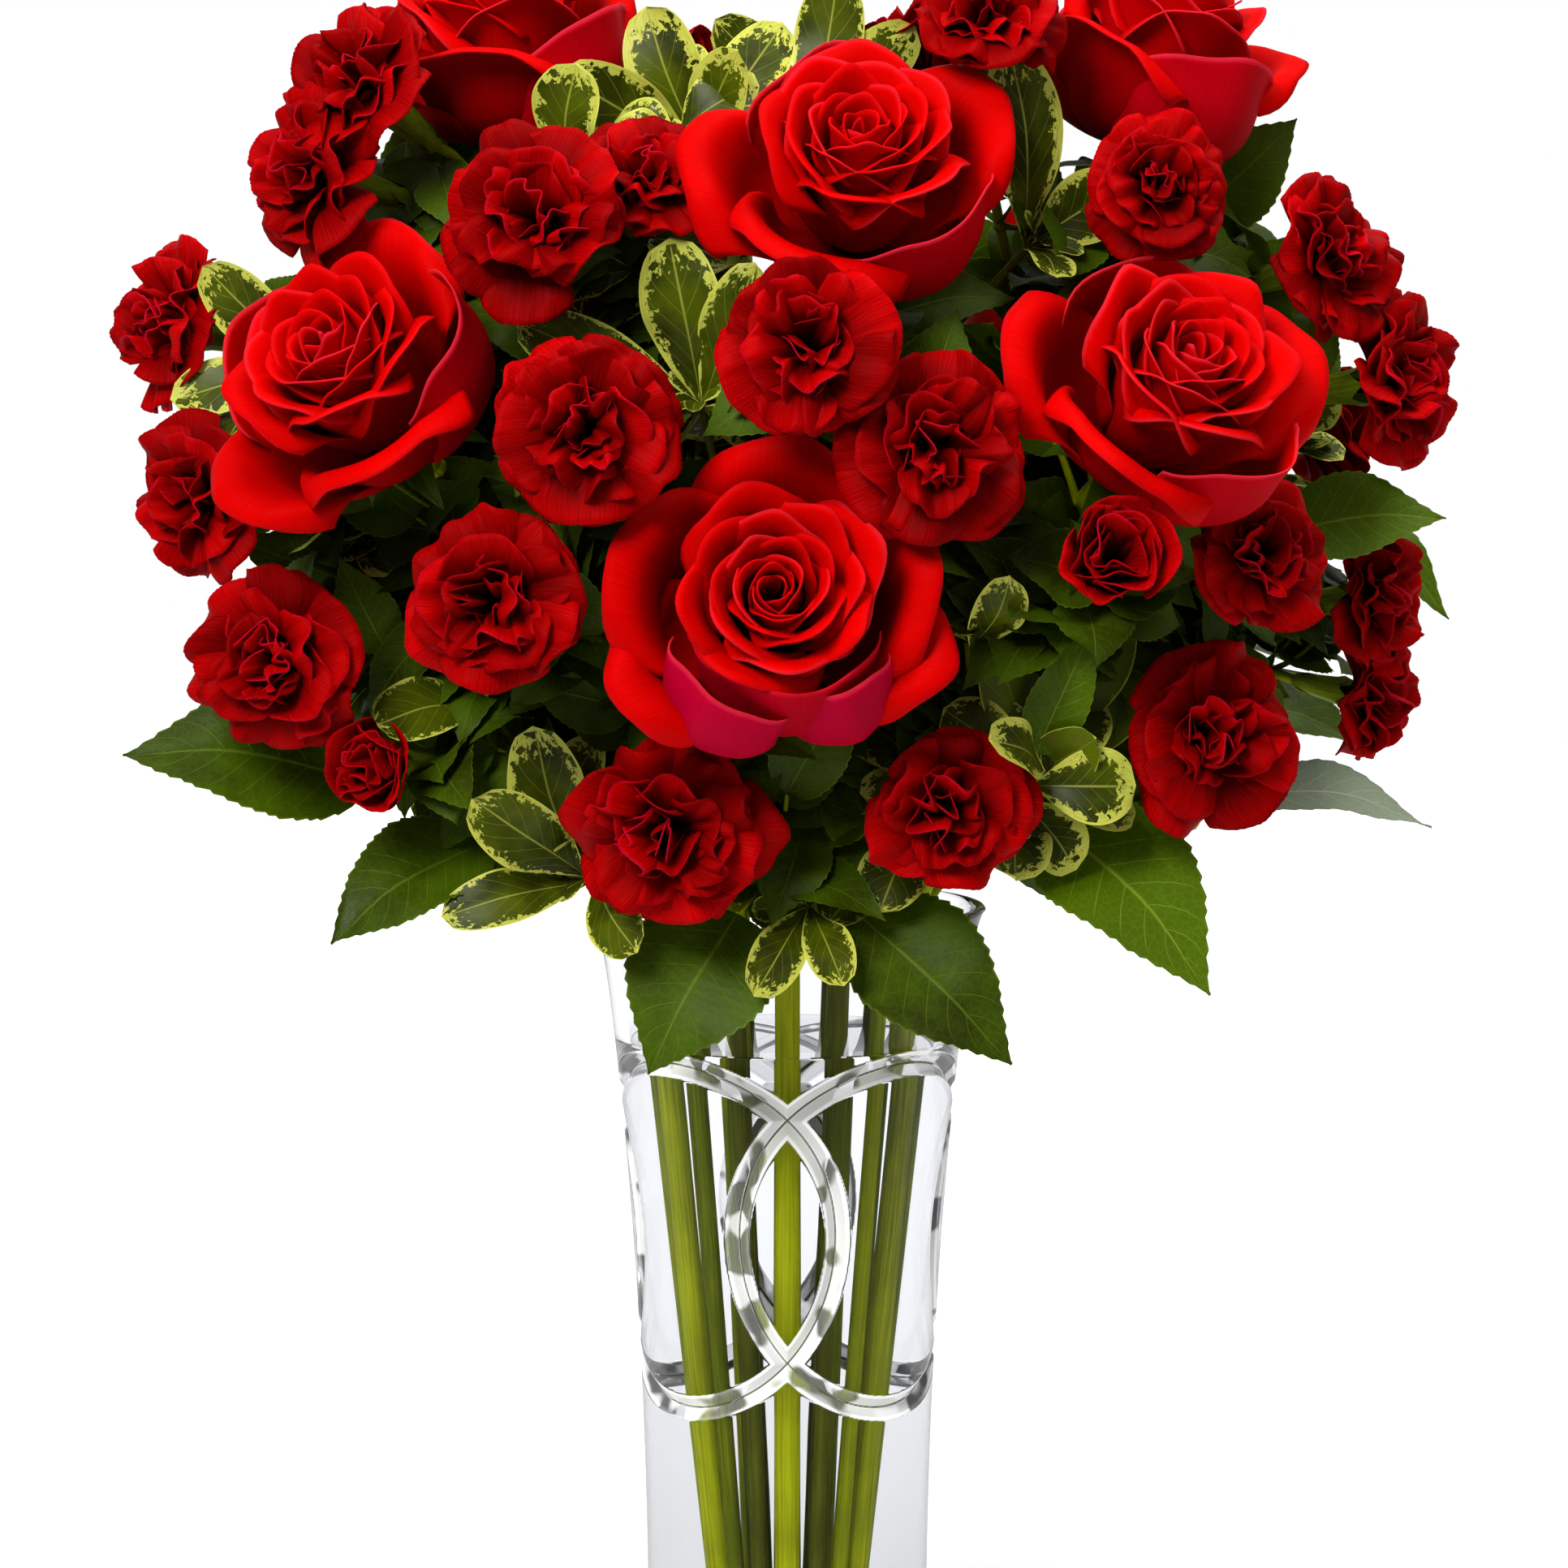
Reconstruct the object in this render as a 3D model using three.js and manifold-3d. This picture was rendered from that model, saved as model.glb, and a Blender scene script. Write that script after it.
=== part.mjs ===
// Red roses and red spray carnations with rose leaves and variegated pittosporum, standing in water in a
// cut-glass vase. Millimetres, +Z up, the origin at the centre of the vase's flat foot, -Y towards the front.
import * as THREE from "three";
import { mergeVertices } from "three/addons/utils/BufferGeometryUtils.js";
import Module from "manifold-3d";

const wasm = await Module();
wasm.setup();

// ---------------------------------------------------------------- driving dimensions
const GAP = 0.3; // air between two pieces that touch
const VASE = {
  height: 214, foot: 37.5, flare: 13.3, flarePower: 2.2, lip: 2.6, lipReach: 7, wall: 4, floor: 14,
  cove: 5, // how far the corner between the inside wall and the floor is cut off
};
const VASE_SIDES = 24;
// The circles cut into the vase: a V whose edges stand this reach from its middle, above the wall by its rise.
const RING = { radius: 46.5, height: 129, reach: 5.8, rise: 1.2, depth: 1.5, steps: 16, count: 4 };
const FIRST_RING = 45; // degrees round from the front
const WATER_LEVEL = 178;
const WATER_SIDES = 16;
const WATER_INSET = 3 * GAP; // its sides are fewer, so it stands further in than a gap
const HOLE_SLACK = 0.15; // a little more air round each stem in the water

const BLADE = 0.8; // thickness of leaves and petals
const ROSE = { radius: 42, height: 57, faceHeight: 36, neck: 6.5 };
const GUARD_PETALS = 5;
const GUARD_SPIRAL = 3.5; // how far a guard petal's edge lies over the next petal
const ROSE_STEM = {
  radius: 3.2, hip: 6.6, hipLength: 11, bend: 30, sides: 5,
  sepals: { count: 5, reach: 17, drop: 10, thick: 3.4 },
};
const CARNATION = { radius: 25, height: 27, faceHeight: 14, neck: 4.2 };
const SPRAY_STEM = {
  radius: 2.1, branch: 1.3, calyx: 4.7, calyxLength: 20, bend: 34, sides: 5, branchSides: 5,
  leaves: { count: 2, reach: 15, drop: -17, thick: 4 },
};
const SPRIG_STEM = { radius: 2, shoot: 1.4, sides: 5, shootSides: 4, spacing: 1.6 };
const SHOOT_SAG = new THREE.Vector3(0, 0, -4); // how a side shoot hangs below a straight line
const LEAF_LIFT = new THREE.Vector3(0, 0, 0.4); // how far the face of a sprig's leaf turns up from level

// Stems stand in three rings: how far out from the vase's axis at the vase's floor and at its rim.
const STEM_RINGS = [
  { foot: 0, rim: 0 },
  { foot: 8, rim: 17 },
  { foot: 16, rim: 36 },
];
const STEM_FOOT = VASE.floor + 1;

// ---------------------------------------------------------------- where everything goes
// face: the centre of a bloom's face. turn: degrees round from the front, + to the right. tilt: degrees up.
// ring and slot: the stem's ring, and how far round it stands, in degrees as turn.
// leaves: [stem height, leaf base, leaf tip, width, the way its upper face looks]
const ROSES = [
  {
    name: "rose_top_left", face: [-76, -26, 450], turn: -25, tilt: 74, spin: 20, size: 1, ring: 1, slot: -120,
    leaves: [[372, [-96, -12, 396], [-98, -14, 429], 24, [-0.2, -0.9, 0.3]]],
  },
  {
    name: "rose_top", face: [18, -100, 416], turn: 5, tilt: 42, spin: 10, size: 1.02, ring: 1, slot: 0,
    leaves: [],
  },
  {
    name: "rose_top_right", face: [97, -30, 447], turn: 62, tilt: 70, spin: 0, size: 1, ring: 1, slot: 120,
    leaves: [
      [372, [106, -12, 398], [134, -16, 424], 26, [0.3, -0.9, 0.3]],
      [330, [112, 22, 354], [152, 22, 374], 28, [0.2, -0.7, 0.7]],
    ],
  },
  {
    name: "rose_left", face: [-114, -92, 363], turn: -32, tilt: 34, spin: 40, size: 1.02,
    ring: 2, slot: -67.5,
    leaves: [
      [246, [-112, -26, 250], [-174, -36, 260], 42, [-0.2, -0.75, 0.62]],
      [232, [-80, -44, 236], [-119, -62, 213], 36, [-0.3, -0.7, 0.6]],
    ],
  },
  {
    name: "rose_front", face: [-3, -126, 306], turn: 0, tilt: 20, spin: 0, size: 1.02, ring: 2, slot: 0,
    leaves: [
      [226, [-13, -68, 220], [-36, -84, 181], 42, [-0.1, -0.95, 0.3]],
      [228, [18, -68, 220], [58, -84, 184], 38, [0.15, -0.9, 0.4]],
      [240, [-2, -66, 230], [25, -86, 222], 20, [0, -0.6, 0.8]],
    ],
  },
  {
    name: "rose_right", face: [99, -99, 361], turn: 28, tilt: 38, spin: 15, size: 1.03, ring: 2, slot: 67.5,
    leaves: [
      [234, [66, -50, 244], [110, -76, 202], 46, [0.3, -0.75, 0.5]],
      [244, [114, -26, 246], [170, -32, 241], 24, [0.1, -0.5, 0.85]],
      [300, [130, -24, 316], [173, -28, 321], 28, [0.1, -0.8, 0.6]],
      [290, [140, 14, 322], [179, 8, 292], 24, [0.4, -0.6, 0.6]],
    ],
  },
  {
    name: "rose_back_left", face: [-88, 92, 372], turn: -142, tilt: 34, spin: 30, size: 1,
    ring: 2, slot: -157.5,
    leaves: [
      [230, [-44, 66, 232], [-78, 92, 206], 42, [-0.3, 0.6, 0.7]],
      [262, [-118, 34, 262], [-166, 44, 260], 34, [-0.3, 0.5, 0.8]],
    ],
  },
  {
    name: "rose_back_right", face: [84, 96, 368], turn: 140, tilt: 32, spin: 0, size: 1, ring: 2, slot: 157.5,
    leaves: [
      [230, [44, 66, 232], [80, 90, 204], 42, [0.3, 0.6, 0.7]],
      [262, [112, 44, 262], [158, 62, 254], 34, [0.3, 0.6, 0.7]],
    ],
  },
  {
    name: "rose_back", face: [-2, 112, 316], turn: 180, tilt: 20, spin: 50, size: 1, ring: 2, slot: 180,
    leaves: [],
  },
];

// A spray is one stem that forks into several blooms. fork: where it does.
// heads: [face, turn, tilt, spin, size]
const SPRAYS = [
  {
    name: "upper_left", ring: 1, slot: -60, fork: [-66, -26, 352],
    heads: {
      a: [[-112, -67, 436], -50, 34, 0, 0.95],
      b: [[-125, -68, 411], -50, 12, 30, 0.98],
      c: [[-166, -12, 371], -62, 14, 10, 0.92],
    },
  },
  {
    name: "lower_left", ring: 2, slot: -90, fork: [-84, -10, 274],
    heads: {
      a: [[-157, -44, 326], -48, 2, 0, 0.88],
      b: [[-134, -72, 285], -24, -2, 24, 1],
      c: [[-106, -70, 259], -40, 0, 0, 0.62],
    },
  },
  {
    name: "centre_left", ring: 2, slot: -45, fork: [-44, -58, 292],
    heads: {
      a: [[-64, -106, 403], -14, 26, 0, 1.02],
      b: [[-36, -92, 412], 10, 40, 0, 0.78],
      c: [[-50, -130, 349], -6, 6, 18, 1],
      d: [[-74, -126, 306], -14, 6, 40, 1],
      e: [[-31, -98, 242], -6, -12, 0, 1.06],
    },
  },
  {
    name: "centre_right", ring: 2, slot: 45, fork: [44, -56, 286],
    heads: {
      a: [[6, -136, 370], 0, 12, 0, 1],
      b: [[37, -129, 344], 8, 6, 50, 1.02],
      c: [[82, -119, 316], 10, 22, 0, 0.68],
      d: [[42, -98, 250], 8, -6, 14, 0.92],
    },
  },
  {
    name: "upper_right", ring: 1, slot: 60, fork: [66, -34, 348],
    heads: {
      a: [[95, -83, 409], 12, 16, 0, 0.8],
      b: [[51, -80, 453], 4, 40, 0, 0.8],
      c: [[145, -36, 390], 54, 18, 0, 0.94],
      d: [[164, -25, 356], 60, 8, 22, 0.98],
    },
  },
  {
    name: "lower_right", ring: 2, slot: 90, fork: [84, -12, 272],
    heads: {
      a: [[124, -76, 314], 34, 14, 0, 0.82],
      b: [[159, -16, 298], 60, 6, 0, 0.82],
      c: [[158, -12, 270], 62, -10, 30, 0.74],
      d: [[110, -76, 266], 14, 0, 10, 0.96],
    },
  },
  {
    name: "back_left", ring: 2, slot: -135, fork: [-66, 62, 276],
    heads: {
      a: [[-152, 52, 338], -112, 14, 0, 0.98],
      b: [[-100, 96, 292], -146, 0, 20, 1],
      c: [[-38, 104, 254], -168, -8, 0, 0.98],
      d: [[-44, 68, 438], -156, 56, 10, 1],
    },
  },
  {
    name: "back_right", ring: 2, slot: 135, fork: [60, 72, 270],
    heads: {
      a: [[150, 56, 340], 112, 14, 0, 0.96],
      b: [[102, 94, 288], 146, 0, 40, 1],
      c: [[42, 64, 442], 150, 58, 0, 1],
      d: [[42, 104, 256], 166, -8, 26, 0.96],
    },
  },
];
// Heads that touch their neighbour in the same spray grow together as one solid.
const TOUCHING_HEADS = [
  ["lower_right", "b", "c"],
  ["centre_left", "a", "b"],
  ["centre_right", "a", "b"],
  ["upper_left", "a", "b"],
  ["upper_right", "c", "d"],
];

// A sprig of pittosporum ends in its first shoot, and the others leave its stem at a height, from.
// top: a shoot's end, where its leaves meet. Leaves: [leaf tip, width].
const SPRIGS = [
  {
    name: "sprig_top", ring: 0, slot: 0,
    shoots: [
      {
        top: [-22, -40, 416],
        leaves: [[[-37, -44, 453], 20], [[-14, -64, 441], 17], [[-2, -34, 450], 18], [[-30, -6, 444], 18],
          [[-57, -60, 436], 20]],
      },
      {
        from: 290, top: [-22, -88, 353],
        leaves: [[[-30, -102, 394], 21], [[-9, -106, 388], 16], [[-68, -94, 374], 17], [[-42, -92, 340], 15],
          [[-2, -98, 346], 14]],
      },
      {
        from: 312, top: [62, -62, 392],
        leaves: [[[58, -74, 443], 21], [[87, -60, 408], 19], [[69, -84, 386], 14]],
      },
      { from: 330, top: [-57, -60, 410], leaves: [[[-55, -74, 438], 20]] },
      {
        from: 340, top: [6, 34, 420],
        leaves: [[[14, 44, 462], 19], [[-18, 52, 450], 18], [[34, 46, 448], 18]],
      },
    ],
  },
  {
    name: "sprig_left", ring: 2, slot: -112.5,
    shoots: [
      {
        top: [-122, -26, 360],
        leaves: [[[-153, -34, 385], 18], [[-162, -30, 352], 16], [[-112, -30, 396], 16]],
      },
      {
        from: 250, top: [-104, 24, 320],
        leaves: [[[-142, 22, 318], 17], [[-118, 50, 352], 18], [[-98, 14, 360], 17]],
      },
    ],
  },
  {
    name: "sprig_front_left", ring: 2, slot: -22.5,
    shoots: [
      {
        top: [-52, -58, 228],
        leaves: [[[-66, -76, 268], 21], [[-80, -82, 250], 19], [[-89, -70, 220], 15], [[-40, -92, 214], 16]],
      },
      { from: 221, top: [-80, -44, 274], leaves: [[[-106, -66, 270], 19], [[-84, -74, 296], 16]] },
    ],
  },
  {
    name: "sprig_front_right", ring: 2, slot: 22.5,
    shoots: [
      {
        top: [62, -62, 256],
        leaves: [[[54, -88, 291], 19], [[85, -68, 304], 24], [[78, -84, 266], 16], [[94, -56, 280], 18]],
      },
      { from: 226, top: [5, -66, 222], leaves: [[[-8, -92, 203], 14], [[14, -94, 206], 13]] },
      { from: 246, top: [46, -84, 292], leaves: [[[56, -108, 309], 14], [[32, -84, 322], 14]] },
    ],
  },
  {
    name: "sprig_right", ring: 2, slot: 112.5,
    shoots: [
      {
        top: [108, 26, 326],
        leaves: [[[140, 20, 358], 19], [[118, 60, 354], 18], [[96, 40, 368], 18], [[144, 40, 324], 18]],
      },
      { from: 250, top: [104, 34, 282], leaves: [[[142, 44, 276], 19], [[126, 66, 304], 18]] },
    ],
  },
  {
    name: "sprig_back", ring: 1, slot: 180,
    shoots: [
      {
        top: [4, 60, 346],
        leaves: [[[4, 84, 386], 19], [[-28, 80, 370], 18], [[36, 80, 368], 18]],
      },
      { from: 246, top: [15, 74, 256], leaves: [[[-4, 98, 230], 18], [[22, 94, 226], 17]] },
    ],
  },
];

// ---------------------------------------------------------------- materials
const material = (color, roughness, extra = {}) =>
  new THREE.MeshStandardMaterial({ color, roughness, metalness: 0, ...extra });
const MATERIALS = {
  glass: material(0xeef4f6, 0.03, { transparent: true, opacity: 0.35 }),
  water: material(0xe4eef0, 0.02, { transparent: true, opacity: 0.35 }),
  rose: material(0xc4040a, 0.5),
  carnation: material(0xa0060c, 0.55),
  stem: material(0x5c8420, 0.5),
  leaf: material(0x2c5220, 0.45),
  sprig: material(0x55762a, 0.45),
};

// ---------------------------------------------------------------- vectors and solids
const vec = (p) => new THREE.Vector3(...p);
const rad = THREE.MathUtils.degToRad;
const UP = new THREE.Vector3(0, 0, 1);

/** The direction at these degrees round from the front and up from level. */
function heading(turn, tilt) {
  const level = Math.cos(rad(tilt));
  return new THREE.Vector3(Math.sin(rad(turn)) * level, -Math.cos(rad(turn)) * level, Math.sin(rad(tilt)));
}

function geometryOf(points, triangles) {
  const geometry = new THREE.BufferGeometry();
  geometry.setAttribute("position", new THREE.Float32BufferAttribute(points.flatMap((p) => p.toArray()), 3));
  geometry.setIndex(triangles.flat());
  return geometry;
}

/** A closed geometry as a manifold solid. */
function solidOf(geometry) {
  const bare = geometry.clone();
  for (const name of ["normal", "uv"]) bare.deleteAttribute(name);
  const merged = mergeVertices(bare, 1e-4);
  const solid = new wasm.Manifold(
    new wasm.Mesh({
      numProp: 3,
      vertProperties: merged.attributes.position.array,
      triVerts: new Uint32Array(merged.index.array),
    }),
  );
  return solid;
}

const fuse = (solids) => wasm.Manifold.union(solids);

/** The largest body of a solid: scraps that a cut leaves loose are dropped. */
function mainBody(solid) {
  return solid.decompose().reduce((most, body) => (body.volume() > most.volume() ? body : most));
}

function meshOf(name, solid, look) {
  const mesh = solid.getMesh();
  const points = [];
  for (let i = 0; i < mesh.vertProperties.length; i += mesh.numProp) {
    points.push(new THREE.Vector3(...mesh.vertProperties.subarray(i, i + 3)));
  }
  const made = new THREE.Mesh(geometryOf(points, [...mesh.triVerts]), look);
  made.geometry.computeVertexNormals();
  made.name = name;
  return made;
}

/** The solid moved so that its +Z looks along a heading, from an origin. */
function placed(solid, origin, turn, tilt, spin) {
  const facing = new THREE.Quaternion().setFromUnitVectors(UP, heading(turn, tilt));
  const rolled = facing.multiply(new THREE.Quaternion().setFromAxisAngle(UP, rad(spin)));
  return solid.transform(new THREE.Matrix4().compose(origin, rolled, new THREE.Vector3(1, 1, 1)).toArray());
}

/** Points round +Z: spot(k) gives the radius and height of each of them. */
function ring(count, start, spot) {
  return Array.from({ length: count }, (_, k) => {
    const round = rad(start) + (2 * Math.PI * k) / count;
    const [r, z] = spot(k);
    return { round, point: new THREE.Vector3(r * Math.cos(round), r * Math.sin(round), z) };
  });
}

/** A closed body through rings of points, each with a count of its own. A ring of one point is a tip. */
function throughRings(rings) {
  const points = rings.flat().map(({ point }) => point);
  const triangles = [];
  const turnOf = (list, k) => list[k % list.length].round + 2 * Math.PI * Math.floor(k / list.length);
  const middleTurn = (list, k) => (turnOf(list, k) + turnOf(list, k + 1)) / 2;
  let first = 0;
  for (let n = 0; n < rings.length - 1; n++) {
    const [low, high] = [rings[n], rings[n + 1]];
    const next = first + low.length;
    let [i, j] = [0, 0];
    while (i < low.length || (high.length > 1 && j < high.length)) {
      const highDone = high.length === 1 || j >= high.length;
      const lowStep = i < low.length && (highDone || middleTurn(low, i) <= middleTurn(high, j));
      const [a, b] = [first + (i % low.length), next + (j % high.length)];
      if (lowStep) triangles.push([a, first + ((i + 1) % low.length), b]);
      else triangles.push([a, next + ((j + 1) % high.length), b]);
      if (lowStep) i += 1;
      else j += 1;
    }
    first = next;
  }
  const base = rings[0].length;
  const top = rings[rings.length - 1].length;
  for (let k = 1; k < base - 1; k++) triangles.push([0, k + 1, k]);
  for (let k = 1; k < top - 1; k++) triangles.push([first, first + k, first + k + 1]);
  return solidOf(geometryOf(points, triangles));
}

/** A straight-sided tube through stations { at, radius }. Where one has tips, spikes stand out there. */
function tube(stations, sides) {
  const at = (i) => stations[THREE.MathUtils.clamp(i, 0, stations.length - 1)].at;
  const direction = (i) => at(i + 1).clone().sub(at(i - 1)).normalize();
  const side = new THREE.Vector3(0, 1, 0).cross(direction(0)).normalize();
  const rings = stations.map(({ radius, tips }, i) => {
    const ahead = direction(i);
    side.addScaledVector(ahead, -side.dot(ahead)).normalize();
    const other = ahead.clone().cross(side);
    const count = tips ? 2 * tips.count : sides;
    const here = new THREE.Matrix4().makeBasis(side, other, ahead).setPosition(at(i));
    return ring(count, 0, (k) => (tips && k % 2 ? [tips.reach, -tips.drop] : [radius, 0])).map(
      ({ round, point }) => ({ round, point: point.applyMatrix4(here) }),
    );
  });
  return throughRings(rings);
}

/** A thin blade from a root point through rows of three points, to a tip if there is one. */
function blade(root, rows, tip) {
  const middle = [root, ...rows.flat(), ...(tip ? [tip] : [])];
  const id = (row, column) => 1 + 3 * row + column;
  const end = middle.length - 1;
  const last = rows.length - 1;
  const face = [[0, id(0, 0), id(0, 1)], [0, id(0, 1), id(0, 2)]];
  for (let row = 0; row < last; row++) {
    for (const column of [0, 1]) {
      const [a, b] = [id(row, column), id(row, column + 1)];
      const [c, d] = [id(row + 1, column + 1), id(row + 1, column)];
      face.push([a, d, c], [a, c, b]);
    }
  }
  if (tip) face.push([id(last, 0), end, id(last, 1)], [id(last, 1), end, id(last, 2)]);
  const normals = middle.map(() => new THREE.Vector3());
  for (const corners of face) {
    const [a, b, c] = corners.map((k) => middle[k]);
    const normal = b.clone().sub(a).cross(c.clone().sub(a)).normalize();
    for (const k of corners) normals[k].add(normal);
  }
  for (const normal of normals) normal.normalize();
  const layer = (lift) => middle.map((point, k) => point.clone().addScaledVector(normals[k], lift));
  const upLeft = rows.map((_, row) => id(row, 0));
  const downRight = rows.map((_, row) => id(last - row, 2));
  const outline = [0, ...upLeft, tip ? end : id(last, 1), ...downRight];
  const count = middle.length;
  const triangles = [...face, ...face.map(([p, q, t]) => [p + count, t + count, q + count])];
  outline.forEach((p, k) => {
    const q = outline[(k + 1) % outline.length];
    triangles.push([q, p, p + count], [q, p + count, q + count]);
  });
  return solidOf(geometryOf([...layer(BLADE / 2), ...layer(-BLADE / 2)], triangles));
}

// ---------------------------------------------------------------- vase and water
function outerRadius(z) {
  const { height, foot, flare, flarePower, lip, lipReach } = VASE;
  return foot + flare * (z / height) ** flarePower + lip * Math.exp((z - height) / lipReach);
}

const innerRadius = (z) => outerRadius(z) - VASE.wall;

function lathe(profile, sides) {
  const geometry = new THREE.LatheGeometry(profile.map(([r, z]) => new THREE.Vector2(r, z)), sides);
  return solidOf(geometry.rotateX(Math.PI / 2));
}

/** The groove of one cut circle, seen from the front of the vase at a heading: a V that opens outwards. */
function groove(turn) {
  const middle = outerRadius(RING.height);
  const points = [];
  const triangles = [];
  for (let i = 0; i < RING.steps; i++) {
    const angle = (2 * Math.PI * i) / RING.steps;
    const corner = (reach, lift) => {
      const z = RING.height + reach * Math.cos(angle);
      const round = rad(turn) + (reach * Math.sin(angle)) / middle;
      const r = outerRadius(z) + lift;
      return new THREE.Vector3(r * Math.sin(round), -r * Math.cos(round), z);
    };
    points.push(
      corner(RING.radius - RING.reach, RING.rise),
      corner(RING.radius, -RING.depth),
      corner(RING.radius + RING.reach, RING.rise),
    );
  }
  for (let i = 0; i < RING.steps; i++) {
    for (let k = 0; k < 3; k++) {
      const [a, b] = [i * 3 + k, i * 3 + ((k + 1) % 3)];
      const [c, d] = [((i + 1) % RING.steps) * 3 + k, ((i + 1) % RING.steps) * 3 + ((k + 1) % 3)];
      triangles.push([a, b, d], [a, d, c]);
    }
  }
  return solidOf(geometryOf(points, triangles));
}

function vase() {
  const { height, floor, cove } = VASE;
  const outside = [0, RING.height, 182, 204, height].map((z) => [outerRadius(z), z]);
  const inside = [height, 190, 100, floor + cove].map((z) => [innerRadius(z), z]);
  const profile = [[0, 0], ...outside, ...inside, [innerRadius(floor) - cove, floor], [0, floor]];
  const body = lathe(profile, VASE_SIDES);
  const grooves = [];
  for (let k = 0; k < RING.count; k++) grooves.push(groove(FIRST_RING + (360 * k) / RING.count));
  return mainBody(body.subtract(fuse(grooves)));
}

/** Water inside the vase, with a plain hole for each stem. */
function water(stems) {
  const { floor, cove } = VASE;
  const sides = [floor + cove, 100, WATER_LEVEL].map((z) => [innerRadius(z) - WATER_INSET, z]);
  const bottom = [[0, floor + GAP], [innerRadius(floor) - cove - GAP, floor + GAP]];
  const profile = [...bottom, ...sides, [0, WATER_LEVEL]];
  const holes = stems.map(({ foot, rim, radius, sides: around }) => {
    const below = foot.clone().lerp(rim, -0.1);
    const wide = radius + GAP + HOLE_SLACK;
    return tube([{ at: below, radius: wide }, { at: rim, radius: wide }], around);
  });
  return lathe(profile, WATER_SIDES).subtract(fuse(holes));
}

// ---------------------------------------------------------------- blooms
/** A ring for a whorl's rim: petals side by side, each a notch and then teeth that go up and down in turn. */
function rim(petals, teeth, radius, height, ruffle, start, notch = 0.76) {
  return ring(petals * (teeth + 1), start, (k) => {
    const tooth = k % (teeth + 1);
    const wave = tooth % 2 ? ruffle : -ruffle;
    return tooth === 0 ? [radius * notch, height] : [radius, height + wave];
  });
}

const lifted = (rimRing, lift) =>
  rimRing.map(({ round, point }) => ({ round, point: point.clone().add(new THREE.Vector3(0, 0, lift)) }));

/** A guard petal of a rose. Its stops: the radius and height up the petal, its half width in degrees. */
function guardPetal(turn, size) {
  const stops = [
    { radius: 29, height: 20, width: 36, over: 0.5, curl: 0 },
    { radius: 38, height: 33, width: 44, over: 1, curl: 0 },
    { radius: ROSE.radius, height: 35, width: 24, over: 1, curl: 4 },
  ];
  const spot = (radius, height, round) => {
    const reach = radius * size;
    return new THREE.Vector3(reach * Math.cos(rad(round)), reach * Math.sin(rad(round)), height * size);
  };
  const rows = stops.map(({ radius, height, width, over, curl }) => [
    spot(radius - GUARD_SPIRAL * over - curl, height + curl * 0.6, turn - width),
    spot(radius, height, turn),
    spot(radius + GUARD_SPIRAL * over - curl, height + curl * 0.6, turn + width),
  ]);
  return blade(spot(13, 13, turn), rows);
}

/** A rose: a heart of three whorls, one inside the other, and guard petals that overlap round it. */
function roseBloom(size) {
  const level = (count, radius, height, start) => ring(count, start, () => [radius * size, height * size]);
  const whorl = (petals, radius, height, ruffle, start, notch) =>
    rim(petals, 2, radius * size, height * size, ruffle * size, start, notch);
  const middle = whorl(4, 31, 47, -1.2, 20, 0.84);
  const heart = throughRings([
    level(GUARD_PETALS, ROSE.neck, 0, 36),
    level(GUARD_PETALS, 20, 11, 36),
    level(GUARD_PETALS, 23, 32, 36),
    middle,
    lifted(middle, BLADE),
    level(5, 20, 38, 20),
    whorl(3, 20, 53, -1, 50, 0.8),
    level(4, 10, 44, 50),
    whorl(2, 9, ROSE.height - 1, 1, 0, 0.6),
    level(1, 0, 48, 0),
  ]);
  const petals = Array.from({ length: GUARD_PETALS }, (_, k) => guardPetal((360 * k) / GUARD_PETALS, size));
  return mainBody(fuse([heart, ...petals]));
}

/** A carnation's head: three ruffled whorls of toothed petals, one inside the other, on a short cone. */
function carnationBloom(size) {
  const level = (count, radius, height, start) => ring(count, start, () => [radius * size, height * size]);
  const outer = rim(5, 2, CARNATION.radius * size, 14 * size, 2.4 * size, 0);
  return throughRings([
    level(4, CARNATION.neck * 0.8, 0, 0),
    lifted(outer, -BLADE),
    outer,
    level(5, 7.5, 10, 10),
    rim(5, 1, 18.5 * size, 20 * size, 0.6 * size, 20, 0.7),
    level(4, 4.5, 15, 30),
    rim(4, 1, 11 * size, (CARNATION.height - 1) * size, size, 40, 0.6),
    level(1, 0, 19, 0),
  ]);
}

// ---------------------------------------------------------------- leaves
/** A leaf in one thin blade. stops: [share of its length, share of its half width]. */
function leaf(root, base, tip, width, face, stops, { fold, arch }) {
  const reach = tip.clone().sub(base);
  const length = reach.length();
  const across = face.clone().cross(reach).normalize();
  const normal = reach.clone().cross(across).normalize();
  const rows = stops.map(([share, half]) =>
    [-1, 0, 1].map((side) => {
      const lift = arch * length * Math.sin(Math.PI * share) + (fold * half * width * side * side) / 2;
      const edge = base.clone().addScaledVector(across, (side * half * width) / 2);
      return edge.addScaledVector(reach, share).addScaledVector(normal, lift);
    }),
  );
  return blade(root, rows, tip);
}

/** A rose leaf: broad, pointed, its edge cut into teeth. joint: where its stalk leaves the stem. */
function roseLeaf(joint, base, tip, width, face) {
  const teeth = [[0, 0.16], [0.2, 0.96], [0.34, 0.82], [0.5, 1], [0.74, 0.66]];
  return leaf(joint, base, tip, width, face, teeth, { fold: 0.18, arch: 0.1 });
}

/** A pittosporum leaf: blunt, widest past its middle. */
function sprigLeaf(base, tip, width, face) {
  return leaf(base, base, tip, width, face, [[0.4, 0.84], [0.8, 0.96]], { fold: 0.16, arch: 0.06 });
}

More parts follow.
